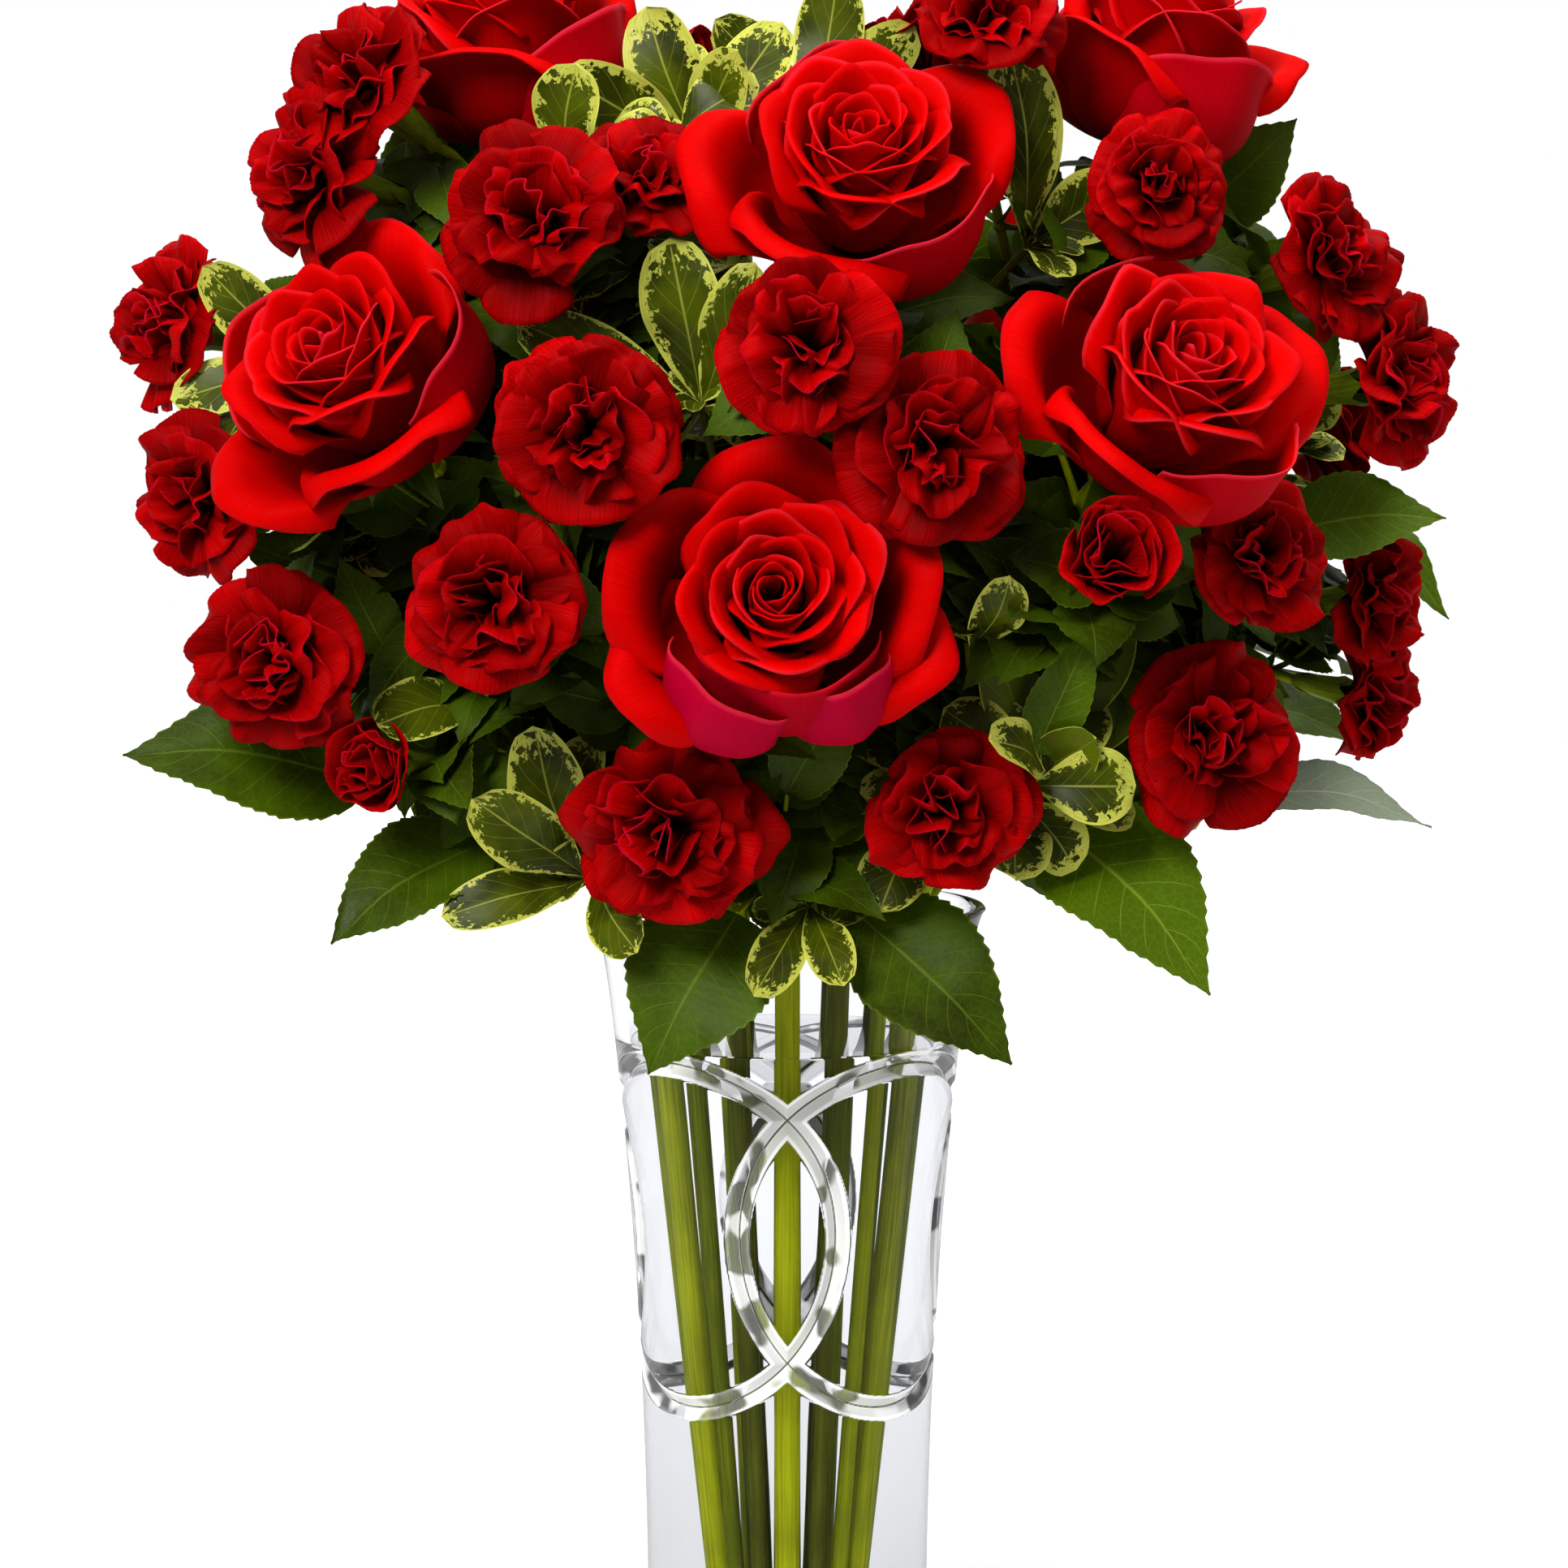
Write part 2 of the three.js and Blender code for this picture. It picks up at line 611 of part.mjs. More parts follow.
// ---------------------------------------------------------------- stems
/** Where a stem stands: its foot on the vase's floor and its place at the rim. */
function standing(ring, slot) {
  const spot = (reach, z) => new THREE.Vector3(reach * Math.sin(rad(slot)), -reach * Math.cos(rad(slot)), z);
  return {
    foot: spot(STEM_RINGS[ring].foot, STEM_FOOT),
    rim: spot(STEM_RINGS[ring].rim, VASE.height),
  };
}

/** A smooth run of points from the rim on, leaving it in line with the stem below. */
function rise(stand, through, steps) {
  const lead = stand.rim.clone().lerp(stand.foot, -0.06);
  return [stand.rim, ...new THREE.CatmullRomCurve3([lead, ...through]).getSpacedPoints(steps)];
}

/** The point of a run at a height. */
function atHeight(run, z) {
  const above = run.findIndex((p, i) => i > 0 && p.z >= z);
  if (above < 1) return run[run.length - 1].clone();
  const [low, high] = [run[above - 1], run[above]];
  return low.clone().lerp(high, (z - low.z) / (high.z - low.z));
}

function roseStem(rose) {
  const { radius, hip, hipLength, bend, sides, sepals } = ROSE_STEM;
  const facing = heading(rose.turn, rose.tilt);
  const base = vec(rose.face).addScaledVector(facing, -ROSE.faceHeight * rose.size);
  const behind = (distance) => base.clone().addScaledVector(facing, -GAP - distance);
  const stand = standing(rose.ring, rose.slot);
  const halfWay = stand.rim.clone().lerp(behind(bend), 0.5).add(new THREE.Vector3(0, 0, 6));
  const run = [stand.foot, ...rise(stand, [halfWay, behind(bend), behind(hipLength)], 5)];
  const stations = [
    ...run.map((at) => ({ at, radius })),
    { at: behind(hipLength * 0.5), radius: hip },
    { at: behind(sepals.thick), radius: hip * 0.9 },
    { at: behind(sepals.thick * 0.7), radius: hip * 0.9, tips: sepals },
    { at: behind(0), radius: hip * 0.86 },
  ];
  const parts = [tube(stations, sides)];
  for (const [height, leafBase, leafTip, width, face] of rose.leaves) {
    parts.push(roseLeaf(atHeight(run, height), vec(leafBase), vec(leafTip), width, vec(face).normalize()));
  }
  return { solid: fuse(parts), stand, radius, sides };
}

function carnationBase([face, turn, tilt, , size]) {
  return vec(face).addScaledVector(heading(turn, tilt), -CARNATION.faceHeight * size);
}

function sprayStem(spray) {
  const { radius, branch, calyx, calyxLength, bend, sides, branchSides, leaves } = SPRAY_STEM;
  const stand = standing(spray.ring, spray.slot);
  const fork = vec(spray.fork);
  const run = rise(stand, [stand.rim.clone().lerp(fork, 0.55).add(new THREE.Vector3(0, 0, 5)), fork], 3);
  const lean = fork.clone().sub(run[run.length - 2]).normalize();
  const below = (distance) => ({ at: fork.clone().addScaledVector(lean, -distance), radius });
  const stations = [
    ...[stand.foot, ...run.slice(0, -1)].map((at) => ({ at, radius })),
    below(leaves.thick * 2),
    { ...below(leaves.thick), tips: leaves },
    below(0),
  ];
  const parts = [tube(stations, sides)];
  const start = fork.clone().addScaledVector(lean, -3);
  for (const head of Object.values(spray.heads)) {
    const [, turn, tilt, , size] = head;
    const facing = heading(turn, tilt);
    const behind = (distance) => carnationBase(head).addScaledVector(facing, -GAP - distance * size);
    const before = behind(bend);
    const way = [start, start.clone().lerp(before, 0.5), before, behind(calyxLength)];
    const curve = new THREE.CatmullRomCurve3(way);
    parts.push(
      tube(
        [
          ...curve.getSpacedPoints(2).map((at) => ({ at, radius: branch })),
          { at: behind(calyxLength * 0.8), radius: calyx * 0.8 * size },
          { at: behind(0), radius: calyx * size },
        ],
        branchSides,
      ),
    );
  }
  return { solid: fuse(parts), stand, radius, sides };
}

function sprig(row) {
  const { radius, shoot, sides, shootSides, spacing } = SPRIG_STEM;
  const stand = standing(row.ring, row.slot);
  const end = vec(row.shoots[0].top);
  const stem = [stand.foot, ...rise(stand, [stand.rim.clone().lerp(end, 0.5), end], 3)];
  const parts = [];
  for (const { from, top, leaves } of row.shoots) {
    const tip = vec(top);
    let run = stem;
    if (from) {
      const root = atHeight(stem, from);
      run = new THREE.CatmullRomCurve3([root, root.clone().lerp(tip, 0.5).add(SHOOT_SAG), tip]).getPoints(2);
    }
    const thick = from ? shoot : radius;
    parts.push(tube(run.map((at) => ({ at, radius: thick })), from ? shootSides : sides));
    const lean = tip.clone().sub(run[run.length - 2]).normalize();
    const upright = ([leafTip]) => vec(leafTip).sub(tip).normalize().dot(lean);
    const ranked = [...leaves].sort((a, b) => upright(b) - upright(a));
    ranked.forEach(([leafTip, width], k) => {
      const foot = tip.clone().addScaledVector(lean, -1 - spacing * k);
      const reach = vec(leafTip).sub(foot);
      const aside = reach.clone().addScaledVector(lean, -reach.dot(lean)).setLength(thick * 0.4);
      const face = new THREE.Vector3(tip.x, tip.y, 0).normalize().add(LEAF_LIFT);
      parts.push(sprigLeaf(foot.add(aside), vec(leafTip), width, face));
    });
  }
  return { solid: fuse(parts), stand, radius, sides };
}

// ---------------------------------------------------------------- the bouquet
const bouquet = new THREE.Group();
bouquet.name = "carnations_and_roses_in_a_vase";
const stems = [];

function addStem(name, { solid, stand, radius, sides }, look) {
  bouquet.add(meshOf(name, solid, look));
  stems.push({ ...stand, radius, sides });
}

for (const rose of ROSES) {
  const base = vec(rose.face).addScaledVector(heading(rose.turn, rose.tilt), -ROSE.faceHeight * rose.size);
  const bloom = placed(roseBloom(rose.size), base, rose.turn, rose.tilt, rose.spin);
  bouquet.add(meshOf(rose.name, bloom, MATERIALS.rose));
  addStem(rose.name + "_stem", roseStem(rose), MATERIALS.leaf);
}

for (const spray of SPRAYS) {
  const heads = new Map();
  for (const [letter, head] of Object.entries(spray.heads)) {
    const [, turn, tilt, spin, size] = head;
    heads.set(letter, placed(carnationBloom(size), carnationBase(head), turn, tilt, spin));
  }
  for (const [name, kept, joined] of TOUCHING_HEADS) {
    if (name !== spray.name) continue;
    heads.set(kept, heads.get(kept).add(heads.get(joined)));
    heads.delete(joined);
  }
  for (const [letter, solid] of heads) {
    bouquet.add(meshOf(`carnation_${spray.name}_${letter}`, solid, MATERIALS.carnation));
  }
  addStem(`spray_${spray.name}`, sprayStem(spray), MATERIALS.stem);
}

for (const row of SPRIGS) addStem(row.name, sprig(row), MATERIALS.sprig);

bouquet.add(meshOf("vase", vase(), MATERIALS.glass));
bouquet.add(meshOf("water", water(stems), MATERIALS.water));

export default bouquet;
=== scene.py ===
import math

import bpy
import numpy as np
from mathutils import Matrix, Vector


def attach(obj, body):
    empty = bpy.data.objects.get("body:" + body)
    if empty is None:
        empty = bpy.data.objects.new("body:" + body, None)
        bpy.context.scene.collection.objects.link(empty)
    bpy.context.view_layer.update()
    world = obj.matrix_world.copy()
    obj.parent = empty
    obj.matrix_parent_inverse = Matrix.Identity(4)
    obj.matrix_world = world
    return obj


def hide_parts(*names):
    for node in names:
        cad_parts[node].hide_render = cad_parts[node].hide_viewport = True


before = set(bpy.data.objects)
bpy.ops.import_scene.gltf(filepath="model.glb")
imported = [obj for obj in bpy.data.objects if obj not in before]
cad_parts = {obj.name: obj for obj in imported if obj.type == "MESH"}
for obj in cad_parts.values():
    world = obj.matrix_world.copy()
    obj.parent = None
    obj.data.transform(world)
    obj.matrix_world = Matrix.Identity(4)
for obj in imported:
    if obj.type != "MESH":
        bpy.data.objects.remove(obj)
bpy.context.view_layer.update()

MM = 0.001
SEED = 7

# ------------------------------------------------------------------ where everything goes, in millimetres
# face: the centre of a bloom's face. turn: degrees round from the front, + to the right. tilt: degrees up.
# ring, slot: where its stem stands. leaves: (stem height, base, tip, width, the way its upper face looks, tint)
# more: leaves that only this scene has.
ROSES = {
    "rose_top_left": dict(face=(-76, -26, 450), turn=-25, tilt=74, spin=20, size=1, ring=1, slot=-120, leaves=[
        (372, (-96, -12, 396), (-98, -14, 429), 24, (-0.2, -0.9, 0.3))], more=[
        (380, (-84, -4, 404), (-100, -6, 434), 30, (-0.1, -0.95, 0.2)),
        (370, (-78, -20, 398), (-72, -34, 424), 22, (0, -0.95, 0.2))]),
    "rose_top": dict(face=(18, -100, 416), turn=5, tilt=42, spin=10, size=1.02, ring=1, slot=0, leaves=[]),
    "rose_top_right": dict(face=(97, -30, 447), turn=62, tilt=70, spin=0, size=1, ring=1, slot=120, leaves=[
        (372, (106, -12, 398), (134, -16, 424), 26, (0.3, -0.9, 0.3)),
        (330, (112, 22, 354), (152, 22, 374), 28, (0.2, -0.7, 0.7))], more=[
        (360, (98, -30, 382), (122, -30, 390), 18, (0.1, -0.9, 0.4), "bright"),
        (350, (116, -18, 370), (138, -20, 394), 24, (0.2, -0.9, 0.3)),
        (345, (134, -10, 354), (144, -12, 377), 15, (0.2, -0.9, 0.3), "bright")]),
    "rose_left": dict(face=(-114, -92, 363), turn=-32, tilt=34, spin=40, size=1.02, ring=2, slot=-67.5, leaves=[
        (246, (-112, -26, 250), (-174, -36, 260), 42, (-0.2, -0.75, 0.62)),
        (232, (-80, -44, 236), (-119, -62, 213), 36, (-0.3, -0.7, 0.6))], more=[
        (300, (-113, -30, 302), (-145, -32, 315), 20, (-0.3, -0.9, 0.3)),
        (290, (-105, -40, 286), (-117, -44, 310), 18, (-0.2, -0.9, 0.3), "bright")]),
    "rose_front": dict(face=(-3, -126, 306), turn=0, tilt=20, spin=0, size=1.02, ring=2, slot=0, leaves=[
        (226, (-13, -68, 220), (-36, -84, 181), 42, (-0.1, -0.95, 0.3)),
        (228, (18, -68, 220), (58, -84, 184), 38, (0.15, -0.9, 0.4)),
        (240, (-2, -66, 230), (25, -86, 222), 20, (0, -0.6, 0.8))]),
    "rose_right": dict(face=(99, -99, 361), turn=28, tilt=38, spin=15, size=1.03, ring=2, slot=67.5, leaves=[
        (234, (66, -50, 244), (110, -76, 202), 46, (0.3, -0.75, 0.5), "bright"),
        (244, (114, -26, 246), (170, -32, 241), 24, (0.1, -0.5, 0.85), "grey"),
        (300, (130, -24, 316), (173, -28, 321), 28, (0.1, -0.8, 0.6), "bright"),
        (290, (140, 14, 322), (179, 8, 292), 24, (0.4, -0.6, 0.6), "bright")], more=[
        (262, (64, -74, 262), (79, -84, 298), 17, (0.2, -0.9, 0.3), "bright"),
        (320, (66, -60, 348), (72, -72, 384), 18, (0.1, -0.95, 0.2)),
        (330, (70, -40, 378), (104, -44, 396), 20, (0.2, -0.9, 0.3), "bright")]),
    "rose_back_left": dict(face=(-88, 92, 372), turn=-142, tilt=34, spin=30, size=1, ring=2, slot=-157.5, leaves=[
        (230, (-44, 66, 232), (-78, 92, 206), 42, (-0.3, 0.6, 0.7)),
        (262, (-118, 34, 262), (-166, 44, 260), 34, (-0.3, 0.5, 0.8))]),
    "rose_back_right": dict(face=(84, 96, 368), turn=140, tilt=32, spin=0, size=1, ring=2, slot=157.5, leaves=[
        (230, (44, 66, 232), (80, 90, 204), 42, (0.3, 0.6, 0.7)),
        (262, (112, 44, 262), (158, 62, 254), 34, (0.3, 0.6, 0.7))]),
    "rose_back": dict(face=(-2, 112, 316), turn=180, tilt=20, spin=50, size=1, ring=2, slot=180, leaves=[]),
}

# heads: (face, turn, tilt, spin, size)
SPRAYS = {
    "upper_left": dict(ring=1, slot=-60, fork=(-66, -26, 352), heads=dict(
        a=((-112, -67, 436), -50, 34, 0, 0.95), b=((-125, -68, 411), -50, 12, 30, 0.98),
        c=((-166, -12, 371), -62, 14, 10, 0.92))),
    "lower_left": dict(ring=2, slot=-90, fork=(-84, -10, 274), heads=dict(
        a=((-157, -44, 326), -48, 2, 0, 0.88), b=((-134, -72, 285), -24, -2, 24, 1),
        c=((-106, -70, 259), -40, 0, 0, 0.62))),
    "centre_left": dict(ring=2, slot=-45, fork=(-44, -58, 292), heads=dict(
        a=((-64, -106, 403), -14, 26, 0, 1.02), b=((-36, -92, 412), 10, 40, 0, 0.78),
        c=((-50, -130, 349), -6, 6, 18, 1), d=((-74, -126, 306), -14, 6, 40, 1),
        e=((-31, -98, 242), -6, -12, 0, 1.06))),
    "centre_right": dict(ring=2, slot=45, fork=(44, -56, 286), heads=dict(
        a=((6, -136, 370), 0, 12, 0, 1), b=((37, -129, 344), 8, 6, 50, 1.02),
        c=((82, -119, 316), 10, 22, 0, 0.68), d=((42, -98, 250), 8, -6, 14, 0.92))),
    "upper_right": dict(ring=1, slot=60, fork=(66, -34, 348), heads=dict(
        a=((95, -83, 409), 12, 16, 0, 0.8), b=((51, -80, 453), 4, 40, 0, 0.8),
        c=((145, -36, 390), 54, 18, 0, 0.94), d=((164, -25, 356), 60, 8, 22, 0.98))),
    "lower_right": dict(ring=2, slot=90, fork=(84, -12, 272), heads=dict(
        a=((124, -76, 314), 34, 14, 0, 0.82), b=((159, -16, 298), 60, 6, 0, 0.82),
        c=((158, -12, 270), 62, -10, 30, 0.74), d=((110, -76, 266), 14, 0, 10, 0.96))),
    "back_left": dict(ring=2, slot=-135, fork=(-66, 62, 276), heads=dict(
        a=((-152, 52, 338), -112, 14, 0, 0.98), b=((-100, 96, 292), -146, 0, 20, 1),
        c=((-38, 104, 254), -168, -8, 0, 0.98), d=((-44, 68, 438), -156, 56, 10, 1))),
    "back_right": dict(ring=2, slot=135, fork=(60, 72, 270), heads=dict(
        a=((150, 56, 340), 112, 14, 0, 0.96), b=((102, 94, 288), 146, 0, 40, 1),
        c=((42, 64, 442), 150, 58, 0, 1), d=((42, 104, 256), 166, -8, 26, 0.96))),
}
# Heads that touch their neighbour are one piece with it.
TOUCHING = {("lower_right", "c"): "b", ("centre_left", "b"): "a", ("centre_right", "b"): "a",
            ("upper_left", "b"): "a", ("upper_right", "d"): "c"}

# shoots: (height at which it leaves the stem, or None for the stem's own end; its end; [(leaf tip, width)])
SPRIGS = {
    "sprig_top": dict(ring=0, slot=0, shoots=[
        (None, (-22, -40, 416), [((-37, -44, 453), 20), ((-14, -64, 441), 17), ((-2, -34, 450), 18),
                                 ((-30, -6, 444), 18), ((-57, -60, 436), 20)]),
        (290, (-22, -88, 353), [((-30, -102, 394), 21), ((-9, -106, 388), 16), ((-68, -94, 374), 17),
                                ((-42, -92, 340), 15), ((-2, -98, 346), 14)]),
        (312, (62, -62, 392), [((58, -74, 443), 21), ((87, -60, 408), 19), ((69, -84, 386), 14)]),
        (330, (-57, -60, 410), [((-55, -74, 438), 20)]),
        (340, (6, 34, 420), [((14, 44, 462), 19), ((-18, 52, 450), 18), ((34, 46, 448), 18)])]),
    "sprig_left": dict(ring=2, slot=-112.5, shoots=[
        (None, (-122, -26, 360), [((-153, -34, 385), 18), ((-162, -30, 352), 16), ((-112, -30, 396), 16)]),
        (250, (-104, 24, 320), [((-142, 22, 318), 17), ((-118, 50, 352), 18), ((-98, 14, 360), 17)])]),
    "sprig_front_left": dict(ring=2, slot=-22.5, shoots=[
        (None, (-52, -58, 228), [((-66, -76, 268), 21), ((-80, -82, 250), 19), ((-89, -70, 220), 15),
                                 ((-40, -92, 214), 16)]),
        (221, (-80, -44, 274), [((-106, -66, 270), 19), ((-84, -74, 296), 16)])]),
    "sprig_front_right": dict(ring=2, slot=22.5, shoots=[
        (None, (62, -62, 256), [((54, -88, 291), 19), ((85, -68, 304), 24), ((78, -84, 266), 16),
                                ((94, -56, 280), 18)]),
        (226, (5, -66, 222), [((-8, -92, 203), 14), ((14, -94, 206), 13)]),
        (246, (46, -84, 292), [((56, -108, 309), 14), ((32, -84, 322), 14)])]),
    "sprig_right": dict(ring=2, slot=112.5, shoots=[
        (None, (108, 26, 326), [((140, 20, 358), 19), ((118, 60, 354), 18), ((96, 40, 368), 18),
                                ((144, 40, 324), 18)]),
        (250, (104, 34, 282), [((142, 44, 276), 19), ((126, 66, 304), 18)])]),
    "sprig_back": dict(ring=1, slot=180, shoots=[
        (None, (4, 60, 346), [((4, 84, 386), 19), ((-28, 80, 370), 18), ((36, 80, 368), 18)]),
        (246, (15, 74, 256), [((-4, 98, 230), 18), ((22, 94, 226), 17)])]),
}

# foot, flare, power, lip and lip_reach make the outer radius, floor is the inside's height.
VASE = dict(height=214.0, foot=37.5, flare=13.3, power=2.2, lip=2.6, lip_reach=7.0, wall=4.0, floor=14.0)
# The circles round the vase: their radius, the height of their centres, half a band's width, and its depth.
CUT = dict(radius=46.5, height=129.0, half=3.3, depth=2.5)
WATER_LEVEL = 178.0
STEM_RINGS = ((0, 0), (8, 17), (16, 36))  # how far from the axis a ring's stems are, on the floor and at the rim
ROSE_BACK = 36  # from a rose's face back to the top of its hip
CARNATION_BACK = 14  # from a carnation's face back to the top of its calyx
BUD_SIZE = 0.7  # a carnation smaller than this is half open
ROSE_THICK, CARNATION_THICK = 0.5, 0.35  # their petals
ROSE_STEM, SPRAY_MAIN, SPRAY_BRANCH = 3.2, 2.1, 1.35  # the radii of these stems
GOLDEN = 137.508  # degrees from one petal of a heart to the next
PETAL_KNOTS = (0, 0.25, 0.55, 0.8, 1)  # where along a rose petal its five slopes are given
FAN_KNOTS = (0, 0.25, 0.5, 0.78, 1)  # and along a carnation's


# ------------------------------------------------------------------ vectors
UP = np.array([0, 0, 1.0])


def vec(p):
    return np.array(p, dtype=float)


def unit(v):
    return v / np.linalg.norm(v)


def heading(turn, tilt):
    """The direction at these degrees round from the front and up."""
    a, b = math.radians(turn), math.radians(tilt)
    return np.array([math.sin(a) * math.cos(b), -math.cos(a) * math.cos(b), math.sin(b)])


def outward(angle, rise):
    """A direction at an angle round the axis, with a rise."""
    return np.array([math.cos(angle), math.sin(angle), rise])


def smooth(x, low, high):
    x = np.clip((np.asarray(x, dtype=float) - low) / (high - low), 0, 1)
    return x * x * (3 - 2 * x)


def placing(origin, turn, tilt, spin):
    """The matrix that turns local +Z to a heading, after a spin about it."""
    turned = Vector((0, 0, 1)).rotation_difference(Vector(heading(turn, tilt))).to_matrix().to_4x4()
    return np.array(Matrix.Translation(Vector(origin)) @ turned @ Matrix.Rotation(math.radians(spin), 4, "Z"))


def moved(points, matrix):
    return points @ matrix[:3, :3].T + matrix[:3, 3]


def layers(*parts):
    """One array from coordinates or values that span the same grid."""
    return np.stack(np.broadcast_arrays(*parts), axis=-1)


def wobble(x, seed):
    """Smooth noise of one number, about -1 to 1, in two octaves."""
    rng = np.random.default_rng(seed)
    total = np.zeros_like(np.asarray(x, dtype=float))
    for k in range(2):
        for _ in range(3):
            total += np.sin(x * (2**k) * rng.uniform(0.7, 1.5) + rng.uniform(0, 6.3)) * 0.5**k
    return total / 2.4


def spline(points, count):
    """A Catmull-Rom curve through points, evenly spaced."""
    p = [vec(q) for q in points]
    p = [2 * p[0] - p[1]] + p + [2 * p[-1] - p[-2]]
    out = []
    for i in range(1, len(p) - 2):
        for u in np.linspace(0, 1, 24, endpoint=False):
            a, b, c, d = p[i - 1 : i + 3]
            out.append(0.5 * (2 * b + (c - a) * u + (2 * a - 5 * b + 4 * c - d) * u**2
                              + (3 * b - 3 * c + d - a) * u**3))
    out.append(p[-2])
    out = np.array(out)
    run = np.concatenate([[0], np.cumsum(np.linalg.norm(np.diff(out, axis=0), axis=1))])
    at = np.linspace(0, run[-1], count)
    return np.stack([np.interp(at, run, out[:, k]) for k in range(3)], axis=1)


# ------------------------------------------------------------------ meshes
class Build:
    """Collects grids of points into one mesh. look holds three values for each point, which the materials read:
    chance, how open a petal is or how a leaf is tinted, and how much a petal blushes or how shaded a leaf is."""

    def __init__(self):
        self.points, self.faces, self.uvs, self.looks, self.slots = [], [], [], [], []
        self.count = 0

    def grid(self, points, uv, look=(0.5, 0, 0), slot=0, closed=False, flip=False):
        rows, cols = points.shape[:2]
        ids = np.arange(rows * cols).reshape(rows, cols) + self.count
        if closed:
            ids = np.concatenate([ids, ids[:, :1]], axis=1)
        quads = np.stack([ids[:-1, :-1], ids[:-1, 1:], ids[1:, 1:], ids[1:, :-1]], axis=-1).reshape(-1, 4)
        if flip:
            quads = quads[:, ::-1]
        self.points.append(points.reshape(-1, 3))
        self.uvs.append(np.broadcast_to(uv, (rows, cols, 2)).reshape(-1, 2))
        self.looks.append(np.broadcast_to(np.asarray(look, dtype=float), (rows, cols, 3)).reshape(-1, 3))
        self.faces.append(quads)
        self.slots.append(np.full(len(quads), slot))
        self.count += rows * cols

    def mesh(self, name):
        points = np.concatenate(self.points) * MM
        faces = np.concatenate(self.faces)
        mesh = bpy.data.meshes.new(name)
        mesh.vertices.add(len(points))
        mesh.vertices.foreach_set("co", points.astype(np.float32).ravel())
        mesh.loops.add(faces.size)
        mesh.loops.foreach_set("vertex_index", faces.astype(np.int32).ravel())
        mesh.polygons.add(len(faces))
        mesh.polygons.foreach_set("loop_start", np.arange(0, faces.size, 4, dtype=np.int32))
        mesh.polygons.foreach_set("material_index", np.concatenate(self.slots).astype(np.int32))
        mesh.polygons.foreach_set("use_smooth", np.ones(len(faces), dtype=bool))
        uv = mesh.uv_layers.new(name="sheet")
        uv.data.foreach_set("uv", np.concatenate(self.uvs)[faces.ravel()].astype(np.float32).ravel())
        look = mesh.attributes.new("look", "FLOAT_VECTOR", "POINT")
        look.data.foreach_set("vector", np.concatenate(self.looks).astype(np.float32).ravel())
        mesh.update(calc_edges=True)
        mesh.validate()
        return mesh


def thicken(obj, thickness):
    """Gives petals a thickness. Their backs take the next material slot."""
    m = obj.modifiers.new("thickness", "SOLIDIFY")
    m.thickness = thickness * MM
    m.offset = 0.0
    m.material_offset = 1
    m.use_quality_normals = True


def add(name, data):
    obj = bpy.data.objects.new(name, data)
    bpy.context.scene.collection.objects.link(obj)
    return obj


def piece(name, build, materials, node):
    """Makes a built mesh a piece of the scene in place of a node of the frame."""
    obj = add(name, build.mesh(name))
    for m in materials:
        obj.data.materials.append(m)
    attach(obj, "root")
    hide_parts(node)
    return obj


def tube(build, path, radii, sides=10, slot=0, look=(0.5, 0, 0)):
    """A round tube along a path of points, closed at both ends."""
    path = np.asarray(path, dtype=float)
    radii = np.broadcast_to(radii, (len(path),)).astype(float)
    path = np.concatenate([path[:1], path, path[-1:]])
    radii = np.concatenate([[0.02], radii, [0.02]])
    ahead = np.gradient(path, axis=0)
    ahead[0], ahead[-1] = ahead[1], ahead[-2]
    ahead /= np.linalg.norm(ahead, axis=1)[:, None] + 1e-9
    side = unit(np.cross([0.13, 1, 0.07], ahead[0]))
    turn = np.linspace(0, 2 * np.pi, sides, endpoint=False)
    rows = []
    for p, d, r in zip(path, ahead, radii):
        side = unit(side - d * side.dot(d))
        rows.append(p + np.outer(np.cos(turn) * r, side) + np.outer(np.sin(turn) * r, np.cross(d, side)))
    rows = np.array(rows)
    run = np.concatenate([[0], np.cumsum(np.linalg.norm(np.diff(path, axis=0), axis=1))])
    uv = layers(turn[None, :] / (2 * np.pi), run[:, None] * 0.01)
    build.grid(rows, uv, look, slot, closed=True, flip=True)


# ------------------------------------------------------------------ blooms
# On every sheet s runs from its foot to its tip, 0 to 1, and t across it, -1 to 1.
WRAP_MOST = 115  # degrees that half a petal may reach round the heart


def laid(base, phi, step):
    """How far out and how high the rows of a petal lie. phi: how far they lean out from the axis. step: from each
    row to the next."""
    total = lambda a: np.concatenate([np.zeros_like(a[:1]), np.cumsum((a[1:] + a[:-1]) / 2 * step, axis=0)])
    return base[0] + total(np.sin(phi)), base[1] + total(np.cos(phi))


